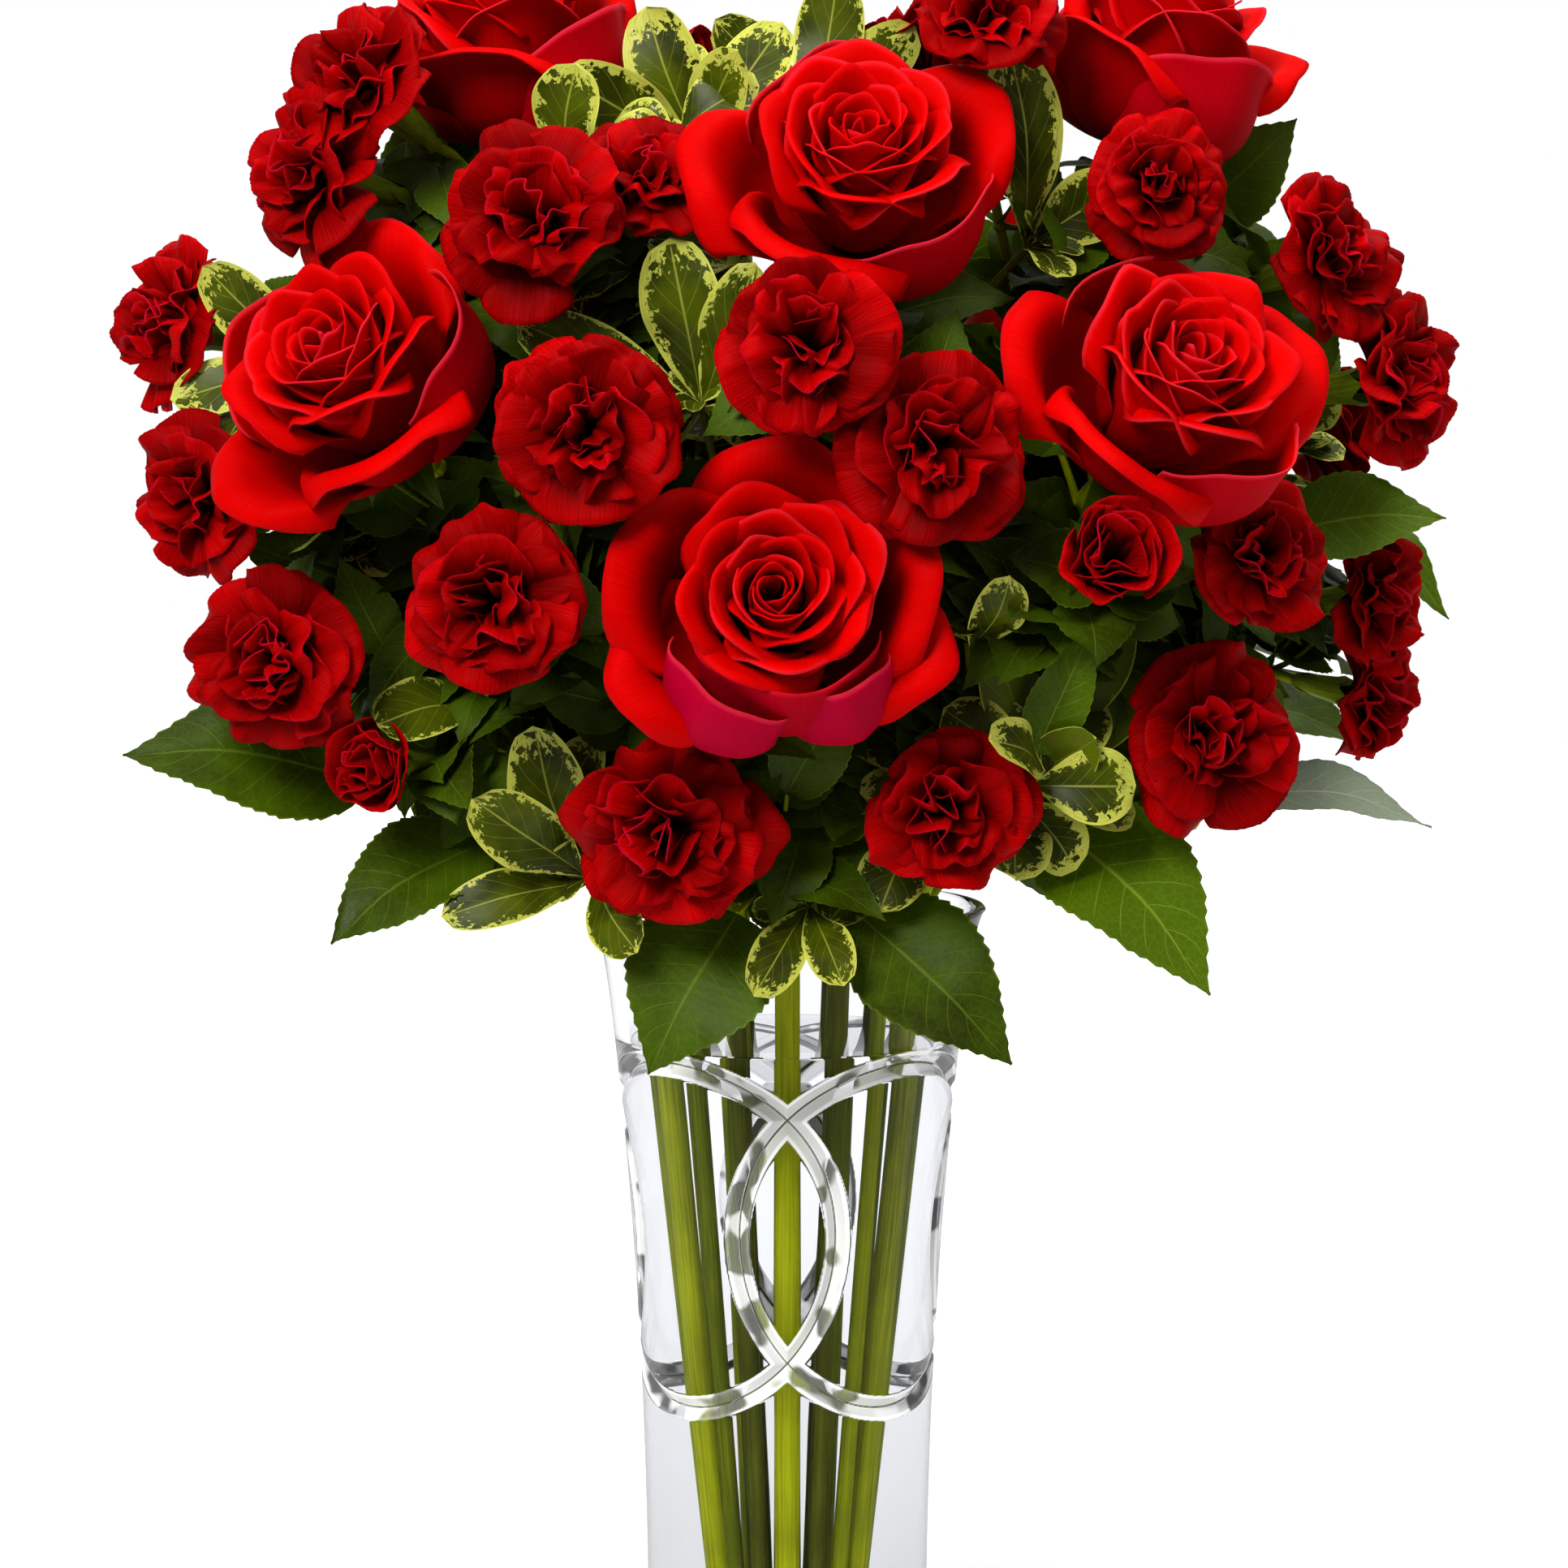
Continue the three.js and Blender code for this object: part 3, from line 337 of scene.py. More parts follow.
def cup_petal(rng, slopes, length, width, base, start, spiral, droop, point, curl, ruffle, waves, rows, cols):
    """A petal that stands round the local +Z axis. slopes: how far it leans out from the axis, in degrees, from foot
    to tip. base: its foot's radius and height. start: its place round the axis. spiral: how far one side stands
    outside the other. droop, point: how much lower its sides and higher its tip are. curl: how far its sides roll."""
    s = np.linspace(0, 1, rows)[:, None]
    t = np.linspace(-1, 1, cols)[None, :]
    long = length * (1 - droop * np.abs(t) ** 2.4 + point * np.exp(-((t / 0.22) ** 2)))
    phi = np.interp(s, PETAL_KNOTS, slopes)
    phi = phi + curl * smooth(np.abs(t), 0.45, 1) * smooth(s, 0.45, 0.95)
    r, z = laid(base, np.radians(phi + np.zeros_like(t)), long / (rows - 1))
    shape = 0.22 + 0.78 * np.sin(np.pi / 2 * np.clip(s / 0.66, 0, 1)) ** 1.2
    middle = np.maximum(r[:, cols // 2][:, None], 1.5)
    half = np.minimum(np.degrees(width / 2 * shape / middle), WRAP_MOST)
    seed = rng.integers(1 << 30)
    edge = smooth(s, 0.35, 1)
    r = r + spiral * t * smooth(s, 0.1, 0.6) + ruffle * edge * wobble(t * waves, seed)
    z = z + 0.6 * ruffle * edge * wobble(t * waves * 1.3, seed + 1)
    around = np.radians(start + half * t)
    points = layers(r * np.cos(around), r * np.sin(around), z)
    return points, layers((t + 1) / 2, s)


def lerp(a, b, x):
    return tuple(p + (q - p) * x for p, q in zip(a, b))


ROSE_CLOSED = (38, 4, -4, -9, -4)
ROSE_HALF = (62, 26, 4, 13, 58)
ROSE_OPEN = (84, 52, 14, 38, 118)
ROSE_PETALS = 27  # in the heart
HEART_OPEN = 0.62  # how open the outermost of them are
# The outer petals' slopes.
OPEN = (88, 62, 12, 30, 104)
WIDE = (92, 68, 24, 44, 128)
CUPPED = (95, 82, 26, -6, 4)
FOLDED = (92, 74, 12, -14, -18)
ROLLED = (95, 88, 30, -24, -40)


def rose_slopes(o):
    return lerp(ROSE_CLOSED, ROSE_HALF, o * 2) if o < 0.5 else lerp(ROSE_HALF, ROSE_OPEN, o * 2 - 1)


def rose(build, matrix, size, seed, guards, blush):
    """A rose in full bloom. guards: its outer petals, as (degrees round, slopes, length, width). blush: how much the
    backs of the cupped and rolled ones blush."""
    rng = np.random.default_rng(seed)
    start = rng.uniform(0, 360)
    for k in range(ROSE_PETALS):
        o = HEART_OPEN * k / (ROSE_PETALS - 1)
        slopes = [a + rng.normal(0, 1.6) for a in rose_slopes(o)]
        length = (44 + 9 * o - 3 * math.exp(-k / 3)) * rng.uniform(0.97, 1.03)
        width = 17 + 44 * o**0.8
        points, uv = cup_petal(
            rng, slopes, length, width, (1.2 + 3.4 * o, 7 - 2 * o), start + GOLDEN * k, 1.5 + 1.2 * o,
            droop=0.2 + 0.1 * o, curl=6 + 30 * o, ruffle=0.4 + 1.1 * o, waves=2.2,
            point=0.05 * rng.uniform(0.2, 1.4), rows=18 if k < 8 else 22, cols=21)
        build.grid(moved(points * size, matrix), uv, (rng.uniform(), o, blush), flip=True)
    for around, slopes, length, width in guards:
        curl = 34 if slopes in (OPEN, WIDE) else 16
        points, uv = cup_petal(
            rng, slopes, length, width, (5, 5), around, 1.8, droop=0.24, curl=curl, ruffle=1.6, waves=2.4,
            point=0.04, rows=26, cols=25)
        chance = 0.9 if slopes in (CUPPED, ROLLED) else 0.5 * rng.uniform()
        build.grid(moved(points * size, matrix), uv, (chance, 1, blush), flip=True)


def fan_petal(rng, slopes, length, width, base, start, fold_depth, cup, twist, teeth, waves):
    """A carnation's petal: a narrow claw that opens to a fan, folded and toothed along its edge. cup: how far its
    sides come forward. waves: how many folds it has. The rest as for cup_petal."""
    s = np.linspace(0, 1, 16)[:, None] ** 0.85
    t = np.linspace(-1, 1, 41)[None, :]
    seed = rng.integers(1 << 30)
    tooth = 0.022 * (np.abs(((t * teeth / 2) % 1) - 0.5) * 4 - 1) + 0.06 * wobble(t * 4.4, seed)
    long = length * (1 - 0.3 * np.abs(t) ** 2.4 + tooth * smooth(s, 0.7, 1))
    phi = np.radians(np.interp(s, FAN_KNOTS, slopes) + np.zeros_like(t))
    phi = phi + np.radians(30) * smooth(s, 0.5, 1) * wobble(t * 2.6, seed + 3) * min(1, fold_depth / 2.2)
    out, up = laid(base, phi, (long * np.gradient(s[:, 0])[:, None])[1:])
    half = width / 2 * (0.12 + 0.88 * smooth(s, 0.12, 0.92))
    fold = fold_depth * smooth(s, 0.25, 1) * wobble(t * waves, seed + 7)
    fold = fold + 0.3 * smooth(s, 0.35, 0.9) * wobble(t * 9, seed + 9)
    side = half * t * (1 - 0.12 * cup * np.abs(t))
    # The fold stands off the sheet, across its slope.
    out = out - fold * np.cos(phi) - cup * half * 0.5 * t**2 * smooth(s, 0.3, 1)
    up = up + fold * np.sin(phi) + cup * half * 0.15 * t**2
    lean = twist * smooth(s, 0.2, 1)
    side = side * np.cos(lean) + out * 0.18 * np.sin(lean)
    a = np.radians(start)
    points = layers(out * np.cos(a) - side * np.sin(a), out * np.sin(a) + side * np.cos(a), up)
    return points, layers((t + 1) / 2, s)


# whorls: (petals, slopes, length, width, fold, cup)
CARNATION_WHORLS = (
    (6, (5, 34, 70, 90, 106), 33.0, 28, 1.8, 0.0),
    (6, (5, 31, 58, 76, 94), 31.5, 25, 2.4, 0.1),
    (5, (4, 24, 44, 56, 80), 29.5, 23, 2.9, 0.3),
    (5, (3, 14, 30, 38, 62), 27.5, 20, 3.2, 0.5),
    (4, (0, 6, 14, 20, 44), 25.5, 16, 3.0, 0.7),
)
BUD_WHORLS = (
    (5, (8, 44, 40, 30, 44), 29.0, 28, 1.4, 0.5),
    (5, (5, 28, 28, 22, 34), 28.5, 24, 2.2, 0.7),
    (4, (2, 12, 14, 10, 24), 27.0, 18, 2.6, 0.8),
)


def carnation(build, matrix, size, seed):
    """A carnation's petals, whorl by whorl from the outside in."""
    rng = np.random.default_rng(seed)
    bud = size < BUD_SIZE
    whorls = BUD_WHORLS if bud else CARNATION_WHORLS
    scale = size * (1.25 if bud else 1.0)
    for level, (count, slopes, length, width, fold, cup) in enumerate(whorls):
        first = rng.uniform(0, 360)
        for k in range(count):
            lean = rng.normal(0, 7 + 5 * level / 4)
            slope = [a + lean * share + rng.normal(0, 4) for a, share in zip(slopes, (0.2, 0.6, 1, 1, 1))]
            points, uv = fan_petal(
                rng, slope, length * rng.uniform(0.87, 1.05), width * rng.uniform(0.85, 1.2), (0.7, -2.5),
                first + 360 * k / count + rng.normal(0, 12), fold * rng.uniform(0.6, 1.5),
                cup=cup * rng.uniform(0.4, 1.6), twist=rng.normal(0, 0.6) * level / 4,
                teeth=int(rng.integers(17, 25)), waves=2.8 + 1.0 * level / 4)
            openness = level / (len(whorls) - 1)
            build.grid(moved(points * scale, matrix), uv, (rng.uniform(), openness, 1), flip=True)


# ------------------------------------------------------------------ leaves
def rose_leaf_half(s):
    return np.where(s < 0.38, np.sqrt(np.clip(1 - (1 - s / 0.38) ** 2, 0, 1)) ** 0.9,
                    np.cos(np.clip((s - 0.38) / 0.62, 0, 1) * np.pi / 2) ** 1.12)


def sprig_leaf_half(s):
    return np.where(s < 0.64, np.sin(np.clip(s / 0.64, 0, 1) * np.pi / 2) ** 1.25,
                    np.sqrt(np.clip(1 - ((s - 0.64) / 0.36) ** 2, 0, 1)) ** 0.9)


def blade(build, rng, base, tip, width, face, kind, slot, fold=0.16, arch=0.08, wave=0.03, tint="", shade=0.0):
    """A leaf as one sheet, from base to tip. face: the way its upper side looks. kind: rose, sprig or strap.
    tint: bright, grey or plain. shade: how dark it is, 0 to 1."""
    base, tip = vec(base), vec(tip)
    reach = tip - base
    long = np.linalg.norm(reach)
    across = unit(np.cross(face, reach))
    normal = unit(np.cross(reach, across))
    teeth = 17 if width > 30 else 13
    rows, cols = (teeth * 4 + 1, 11) if kind == "rose" else (22, 11)
    s = np.linspace(0, 1, rows)[:, None]
    t = np.linspace(-1, 1, cols)[None, :]
    seed = int(rng.integers(1 << 30))
    if kind == "rose":
        half = rose_leaf_half(s) * (1 - 0.05 * smooth(np.abs(t), 0.8, 1))
        saw = ((s * teeth) % 1 - 0.4) * smooth(np.abs(t), 0.82, 1)
        half = half + 0.055 * saw * smooth(s, 0.03, 0.1) * smooth(1 - s, 0.0, 0.12)
    elif kind == "sprig":
        half = sprig_leaf_half(s) + np.zeros_like(t)
    else:
        half = np.clip(np.minimum(s * 6 + 0.5, 1) * (1 - s**2.2), 0.02, 1) + np.zeros_like(t)
    half = np.maximum(half, 0.015) * width / 2
    lift = arch * long * np.sin(np.pi * s**1.15) - 0.06 * long * smooth(s, 0.55, 1)
    lift = lift + fold * half * (np.sqrt(t**2 + 0.02) - 0.14)
    lift = lift + wave * width * wobble(s * 7 + np.sign(t) * 1.7, seed) * t**2
    if kind == "rose":
        vein = np.abs(((s * 8.5 - 1.9 * np.abs(t)) % 1) - 0.5)
        lift = lift - 0.32 * smooth(vein, 0.32, 0.5) * smooth(1 - np.abs(t), 0, 0.25) * (width / 40)
    lift = lift - 0.3 * np.exp(-((t / 0.12) ** 2)) * (width / 30)
    bend = 0.05 * long * wobble(s * 1.3, seed + 1)
    points = (base + s[..., None] * reach + (half * t + bend * s)[..., None] * across
              + (lift + np.zeros_like(t))[..., None] * normal)
    points = points - (bend * s)[-1:, :, None] * across * s[..., None]
    chance = 1.0 if tint == "bright" else 0.8 * rng.uniform()
    other = {"grey": 2.0, "plain": -0.5}.get(tint, rng.uniform())
    build.grid(points, layers((t + 1) / 2, s), (chance, other, shade), slot)


def stalk(build, start, end):
    """The stalk that joins a rose leaf to its stem."""
    middle = (vec(start) + vec(end)) / 2 + UP * 2
    tube(build, spline([start, middle, end], 9), np.linspace(1.2, 0.8, 9), sides=8)


# ------------------------------------------------------------------ stems
def standing(ring, slot):
    """Where a stem stands on the vase's floor, and where it passes the vase's rim."""
    low, high = STEM_RINGS[ring]
    a = math.radians(slot)
    spot = lambda reach, z: np.array([reach * math.sin(a), -reach * math.cos(a), z])
    return spot(low, VASE["floor"] + 1), spot(high, VASE["height"])


def stem_run(stand, through, count):
    """A stem's whole way: straight in the vase, then in a curve through points."""
    above = spline([stand[1]] + through, count)
    return np.concatenate([np.linspace(stand[0], stand[1], 12)[:-1], above])


def at_height(run, z):
    """The first point of a stem's way at a height or above it."""
    above = np.argmax(run[:, 2] >= z) if (run[:, 2] >= z).any() else len(run) - 1
    return run[max(above, 1)]


def bloom_spheres():
    """Where the blooms are, as (centre, radius), so that extra leaves keep out of them."""
    spheres = []
    for row in ROSES.values():
        facing = heading(row["turn"], row["tilt"])
        spheres.append((vec(row["face"]) - facing * 4, 40 * row["size"]))
        spheres.append((vec(row["face"]) - facing * 24, 24 * row["size"]))
    for spray in SPRAYS.values():
        for face, turn, tilt, _, size in spray["heads"].values():
            spheres.append((vec(face) + heading(turn, tilt), 23 * size))
    return spheres


SPHERES = bloom_spheres()
INNER = np.array([162, 120, 160])  # extra leaves stay inside this ellipsoid
HEART = np.array([0, 0, 300.0])  # the bouquet's middle


def free(points):
    """True if these points are clear of every bloom, inside the bouquet and above the vase's rim."""
    for p in points:
        if p[2] < VASE["height"] + 4 or np.linalg.norm((p - HEART) / INNER) > 1:
            return False
        if any(np.linalg.norm(p - c) < r for c, r in SPHERES):
            return False
    return True


def foliage(build, rng, roots, slots, kind, leaf, reach):
    """Side twigs with leaves, off a stem at roots, that fill the inside of the bouquet. slots: the materials of twig
    and leaf. leaf: its length and width. reach: the shortest and the longest twig."""
    for root in roots:
        for _ in range(4):
            away = math.atan2(root[1] + rng.normal(0, 16), root[0] + rng.normal(0, 16))
            out = unit(outward(away, rng.uniform(0.1, 1.0)))
            tip = root + out * rng.uniform(*reach)
            if free([root + (tip - root) * 0.6, tip]):
                break
        else:
            continue
        path = spline([root, (root + tip) / 2 - UP * 2, tip], 9)
        across = unit(np.cross(out, UP))
        up = unit(np.cross(across, out))
        last = 0
        for k in range(3, len(path)):
            turn = rng.uniform(-1.2, 1.2) + (math.pi if k % 2 else 0)
            side = across * math.cos(turn) + up * math.sin(turn)
            way = unit(side + out * rng.uniform(0.0, 0.7))
            end = path[k] + way * leaf[0] * rng.uniform(0.75, 1.25)
            if free([end, (end + path[k]) / 2]):
                last = k
                depth = np.linalg.norm((end - HEART) / INNER)
                to_light = np.array([0, -0.9 if end[1] < 20 else 0.3, 0.3])
                face = unit(out + up * 0.3 + to_light + rng.normal(0, 0.25, 3))
                width = leaf[1] * rng.uniform(0.85, 1.25)
                shade = float(1 - smooth(depth, 0.3, 0.85))
                blade(build, rng, path[k], end, width, face, kind, slots[1], wave=0.05, shade=shade)
        if last:
            radii = np.linspace(0.9, 0.5, last + 1)
            tube(build, path[:last + 1], radii, sides=8, slot=slots[0], look=(0.1, 0, 0))


def rose_stem(name, row, materials, seed):
    """A rose's stem with its hip, sepals and leaves."""
    rng = np.random.default_rng(seed)
    facing = heading(row["turn"], row["tilt"])
    base = vec(row["face"]) - facing * ROSE_BACK * row["size"]
    behind = lambda d: base - facing * (0.3 + d)
    stand = standing(row["ring"], row["slot"])
    half_way = (stand[1] + behind(30)) / 2 + UP * 6
    run = stem_run(stand, [half_way, behind(30), behind(11)], 30)
    build = Build()
    radius = ROSE_STEM + 0.12 * np.array([wobble(np.array(z / 14), seed) for z in run[:, 2]])
    tube(build, run, radius, sides=16, look=(rng.uniform(), 0, 0))
    hip = [behind(12), behind(9), behind(5.5), behind(2.5), behind(0)]
    tube(build, hip, [3.3, 5.2, 6.6, 6.2, 5.6], sides=20)
    spin = rng.uniform(0, 72)
    matrix = placing(behind(2.0), row["turn"], row["tilt"], spin)
    for k in range(5):
        out = outward(math.radians(72 * k), 0)
        foot, tip = moved(np.array([out * 5.5, out * 19 + UP * (-7 + 3 * rng.normal())]), matrix)
        face = moved(UP[None], matrix)[0] - matrix[:3, 3]
        blade(build, rng, foot, tip, 7.5, face, "strap", 1, arch=0.18)
    for height, leaf_base, leaf_tip, width, face, *tint in row["leaves"] + row.get("more", []):
        joint = at_height(run, height)
        stalk(build, joint, leaf_base)
        tint = tint[0] if tint else ""
        blade(build, rng, leaf_base, leaf_tip, width, unit(vec(face)), "rose", 1, tint=tint)
        reach = vec(leaf_base) - joint
        if np.linalg.norm(reach) > 26:  # a long stalk has a pair of small leaves too
            for side in (-1, 1):
                root = joint + reach * 0.62 + UP * 1.5
                across = unit(np.cross(vec(face), vec(leaf_tip) - vec(leaf_base)))
                tip = root + across * side * 22 + unit(reach) * 8 + UP * rng.uniform(-2, 8)
                blade(build, rng, root, tip, 15, unit(vec(face) + UP * 0.5), "rose", 1)
    roots = [at_height(run, z) for z in np.arange(VASE["height"] + 12, base[2] - 12, 7)]
    foliage(build, rng, roots, (0, 1), "rose", (30, 20), (22, 56))
    piece(name, build, materials, name)


def calyx(build, matrix, size, rng, slot):
    """The green tube that a carnation's petals come out of, with five points at its rim."""
    rows, cols = 16, 30
    s = np.linspace(0, 1, rows)[:, None]
    a = np.linspace(0, 2 * np.pi, cols, endpoint=False)[None, :]
    radius = np.interp(s, (0, 0.08, 0.3, 0.75, 1), (1.3, 2.9, 3.6, 4.6, 5.6)) * (1 + 0.03 * np.cos(10 * a))
    tips = (np.abs(((a * 5 / (2 * np.pi)) % 1) - 0.5) * 2) ** 1.3
    z = -20 + s * 20 + smooth(s, 0.75, 1) * (4.2 * tips - 1.6)
    points = layers(radius * np.cos(a), radius * np.sin(a), z) * size
    uv = layers(a / (2 * np.pi), s)
    build.grid(moved(points, matrix), uv, (rng.uniform(), 0, 0), slot, closed=True)
    for k in range(4):
        out = outward(math.radians(90 * k + 20), 0)
        low, high = moved(np.array([out * 2.6 - UP * 20.5, out * 4.4 - UP * 13]) * size, matrix)
        blade(build, rng, low, high, 4.6 * size, matrix[:3, :3] @ out, "strap", slot, fold=-0.3, arch=0.02)


def spray_stem(name, row, materials, seed):
    """A spray's forked stem with its joints, narrow leaves and calyxes."""
    rng = np.random.default_rng(seed)
    stand = standing(row["ring"], row["slot"])
    fork = vec(row["fork"])
    run = stem_run(stand, [stand[1] + (fork - stand[1]) * 0.55 + UP * 5, fork], 24)
    build = Build()
    tube(build, run, SPRAY_MAIN, sides=14, look=(rng.uniform(), 0, 0))
    lean = unit(run[-1] - run[-3])
    start = fork - lean * 2
    joints = [run[int(len(run) * 0.5)], run[int(len(run) * 0.74)], fork - lean * 4]
    for joint in joints:
        tube(build, [joint - lean * 1.8, joint, joint + lean * 1.8], [2.2, 3.0, 2.2], sides=12)
        side = rng.uniform(0, 6.3)
        if joint[2] < VASE["height"]:
            continue
        for k in (0, 1):
            a = side + math.pi * k
            tip = joint + unit(outward(a, 1.3)) * rng.uniform(22, 34)
            blade(build, rng, joint, tip, 4.5, unit(-outward(a, -1)), "strap", 1, fold=0.5, arch=-0.05)
    for letter, (face, turn, tilt, spin, size) in row["heads"].items():
        facing = heading(turn, tilt)
        base = vec(face) - facing * CARNATION_BACK * size
        scale = size * (1.12 if size < BUD_SIZE else 1)
        behind = lambda d: base - facing * (0.3 + d * size)
        path = spline([start, (start + behind(34)) / 2, behind(34), behind(20)], 14)
        tube(build, path, SPRAY_BRANCH)
        foliage(build, rng, path[1:-2:2], (0, 2), "rose", (26, 20), (6, 22))
        knot = path[7]
        way = unit(path[8] - path[6])
        tube(build, [knot - way * 1.2, knot, knot + way * 1.2], [1.4, 2.1, 1.4])
        for k in (0, 1):
            across = unit(np.cross(way, [0.2, 0.3, 1])) * (1 if k else -1)
            tip = knot + unit(across + way * 1.2) * rng.uniform(9, 15)
            blade(build, rng, knot, tip, 3.2, unit(way - across * 0.3), "strap", 1, fold=0.5, arch=-0.06)
        calyx(build, placing(behind(0), turn, tilt, spin), scale, rng, 1)
    piece(name, build, materials, name)


PLAIN_SPRIGS = ("sprig_front_right", "sprig_right")  # most of their leaves have only a thin pale edge


def sprig(name, row, materials, seed):
    """A sprig of pittosporum: its stem, its shoots and their leaves."""
    rng = np.random.default_rng(seed)
    stand = standing(row["ring"], row["slot"])
    end = vec(row["shoots"][0][1])
    run = stem_run(stand, [(stand[1] + end) / 2, end], 24)
    build = Build()
    tube(build, run, np.interp(run[:, 2], (200, end[2]), (2.0, 1.3)), sides=12)
    for height, top, leaves in row["shoots"]:
        tip = vec(top)
        path = run
        small = rng.integers(3, 6)
        if height:
            root = at_height(run, height)
            path = spline([root, (root + tip) / 2 - UP * 4, tip], 12)
            tube(build, path, np.linspace(1.4, 1.0, len(path)))
        lean = unit(tip - path[-3])
        for leaf_tip, width in leaves:
            foot = tip - lean * rng.uniform(0, 3)
            face = unit(unit(tip * [1, 1, 0]) + [0, -0.9 if tip[1] < 0 else 0, 0.4])
            tint = "plain" if name in PLAIN_SPRIGS and rng.uniform() < 0.7 else ""
            blade(build, rng, foot, leaf_tip, width, face, "sprig", 1, fold=0.1, arch=0.05, wave=0.05, tint=tint)
        for k in range(small):
            out = unit(np.cross(lean, outward(k * 2.4, 0.3))) + lean * 0.9
            end_at = tip + unit(out) * rng.uniform(8, 15)
            if free([end_at]):
                face = unit(lean + [0, -0.4, 0])
                blade(build, rng, tip, end_at, rng.uniform(5, 8), face, "sprig", 1, tint="bright")
    roots = [at_height(run, z) for z in np.arange(VASE["height"] + 8, end[2] - 4, 6)]
    foliage(build, rng, roots, (0, 1), "sprig", (26, 17), (26, 60))
    piece(name, build, materials, name)


# ------------------------------------------------------------------ vase and water
def outer_radius(z):
    """The vase's outside, flared, with a lip that turns out."""
    return (VASE["foot"] + VASE["flare"] * (z / VASE["height"]) ** VASE["power"]
            + VASE["lip"] * np.exp((z - VASE["height"]) / VASE["lip_reach"]))


def cut_depth(around, z):
    """How deep the cut circles are at a place on the wall: a V across each band."""
    middle = outer_radius(CUT["height"])
    deepest = np.zeros_like(around)
    for k in range(4):
        turn = math.radians(45 + 90 * k)
        arc = (around - turn + np.pi) % (2 * np.pi) - np.pi
        off = np.abs(np.hypot(arc * middle, z - CUT["height"]) - CUT["radius"])
        deepest = np.maximum(deepest, 1 - off / CUT["half"])
    return CUT["depth"] * np.clip(deepest, 0, 1)


def turned(name, node, slot, material, profile, columns, tall, cut_rows=slice(0)):
    """A piece turned round the axis from a profile of (radius, height). tall: the height that its UVs span.
    cut_rows: the rows of the profile that the circles are cut into."""
    profile = np.array(profile)
    around = np.linspace(0, 2 * np.pi, columns, endpoint=False)
    r = np.repeat(profile[:, :1], columns, axis=1)
    z = np.repeat(profile[:, 1:], columns, axis=1)
    depth = np.zeros_like(r)
    depth[cut_rows] = cut_depth(np.broadcast_to(around, r[cut_rows].shape), z[cut_rows])
    r = np.maximum(r - depth, 0.01)
    points = layers(r * np.sin(around), -r * np.cos(around), z)
    uv, look = layers(around / (2 * np.pi), z / tall), layers(0.5, depth / CUT["depth"], 0)
    build = Build()
    build.grid(points, uv, look, closed=True)
    piece(name, build, [material], node)


def vase(material):
    """The vase, from the middle of its foot up its outside, over its lip and down into its bowl."""
    height, floor = VASE["height"], VASE["floor"]
    fine_low, fine_high = CUT["height"] - CUT["radius"] - 5, CUT["height"] + CUT["radius"] + 5
    outside = np.concatenate([np.linspace(2.2, fine_low, 22)[:-1], np.arange(fine_low, fine_high, 0.4),
                              np.linspace(fine_high, height - 1.6, 16)])
    foot = [(0, 1.6), (20, 1.2), (31, 0.4), (33.5, 0), (35.5, 0), (37.0, 0.6)]
    rim = float(outer_radius(height))
    lip = [(rim - 0.1, height - 0.9), (rim - 0.8, height - 0.1), (rim - 2, height), (rim - 3.2, height - 0.1),
           (rim - 3.9, height - 0.9)]
    inner = [(float(outer_radius(z)) - VASE["wall"], z) for z in np.linspace(height - 2.4, floor + 8, 40)]
    low = inner[-1][0]
    bowl = [(low - 0.4, floor + 5), (low - 2, floor + 2.4), (low - 5, floor + 0.7), (low - 10, floor + 0.1),
            (12, floor), (0, floor)]
    profile = foot + [(float(outer_radius(z)), z) for z in outside] + lip + inner + bowl
    cut_rows = slice(len(foot), len(foot) + len(outside))
    turned("vase_glass", "vase", "glass", material, profile, 720, height, cut_rows)


def water(material):
    """The water, from the middle of the bowl up to a rim that clings to the glass."""
    floor, level = VASE["floor"], WATER_LEVEL
    over = 0.12  # into the glass, so that no air shows between the two
    side = [(float(outer_radius(z)) - VASE["wall"] + over, z) for z in np.linspace(floor + 8, level, 34)]
    low = side[0][0]
    bottom = [(0, floor - over), (12, floor - over), (low - 10, floor), (low - 5, floor + 0.6),
              (low - 2, floor + 2.3), (low - 0.4, floor + 4.9)]
    rim = side[-1][0]
    top = [(rim, level + 0.9), (rim - 0.8, level + 0.35), (rim - 2.2, level), (12, level - 0.1), (0, level - 0.1)]
    turned("water_in_vase", "water", "water", material, bottom + side + top, 160, 200)


# ------------------------------------------------------------------ materials
def math_node(operation):
    return lambda *values: values[0].look.node("Math", {"operation": operation}, values)


class Value:
    """The output of a node. A sum, a product and the like of such values is a node too."""

    def __init__(self, look, socket):
        self.look, self.socket = look, socket

    __add__, __sub__, __mul__ = math_node("ADD"), math_node("SUBTRACT"), math_node("MULTIPLY")
    __gt__, __lt__, __abs__ = math_node("GREATER_THAN"), math_node("LESS_THAN"), math_node("ABSOLUTE")
    most, fract = math_node("MAXIMUM"), math_node("FRACT")

    def __rsub__(self, other):
        return self.look.node("Math", {"operation": "SUBTRACT"}, (other, self))

    def map(self, a, b, c, d, smooth_step=False):
        """Takes the range a to b to the range c to d."""
        kind = "SMOOTHSTEP" if smooth_step else "LINEAR"
        return self.look.node("MapRange", {"interpolation_type": kind}, (self, a, b, c, d))


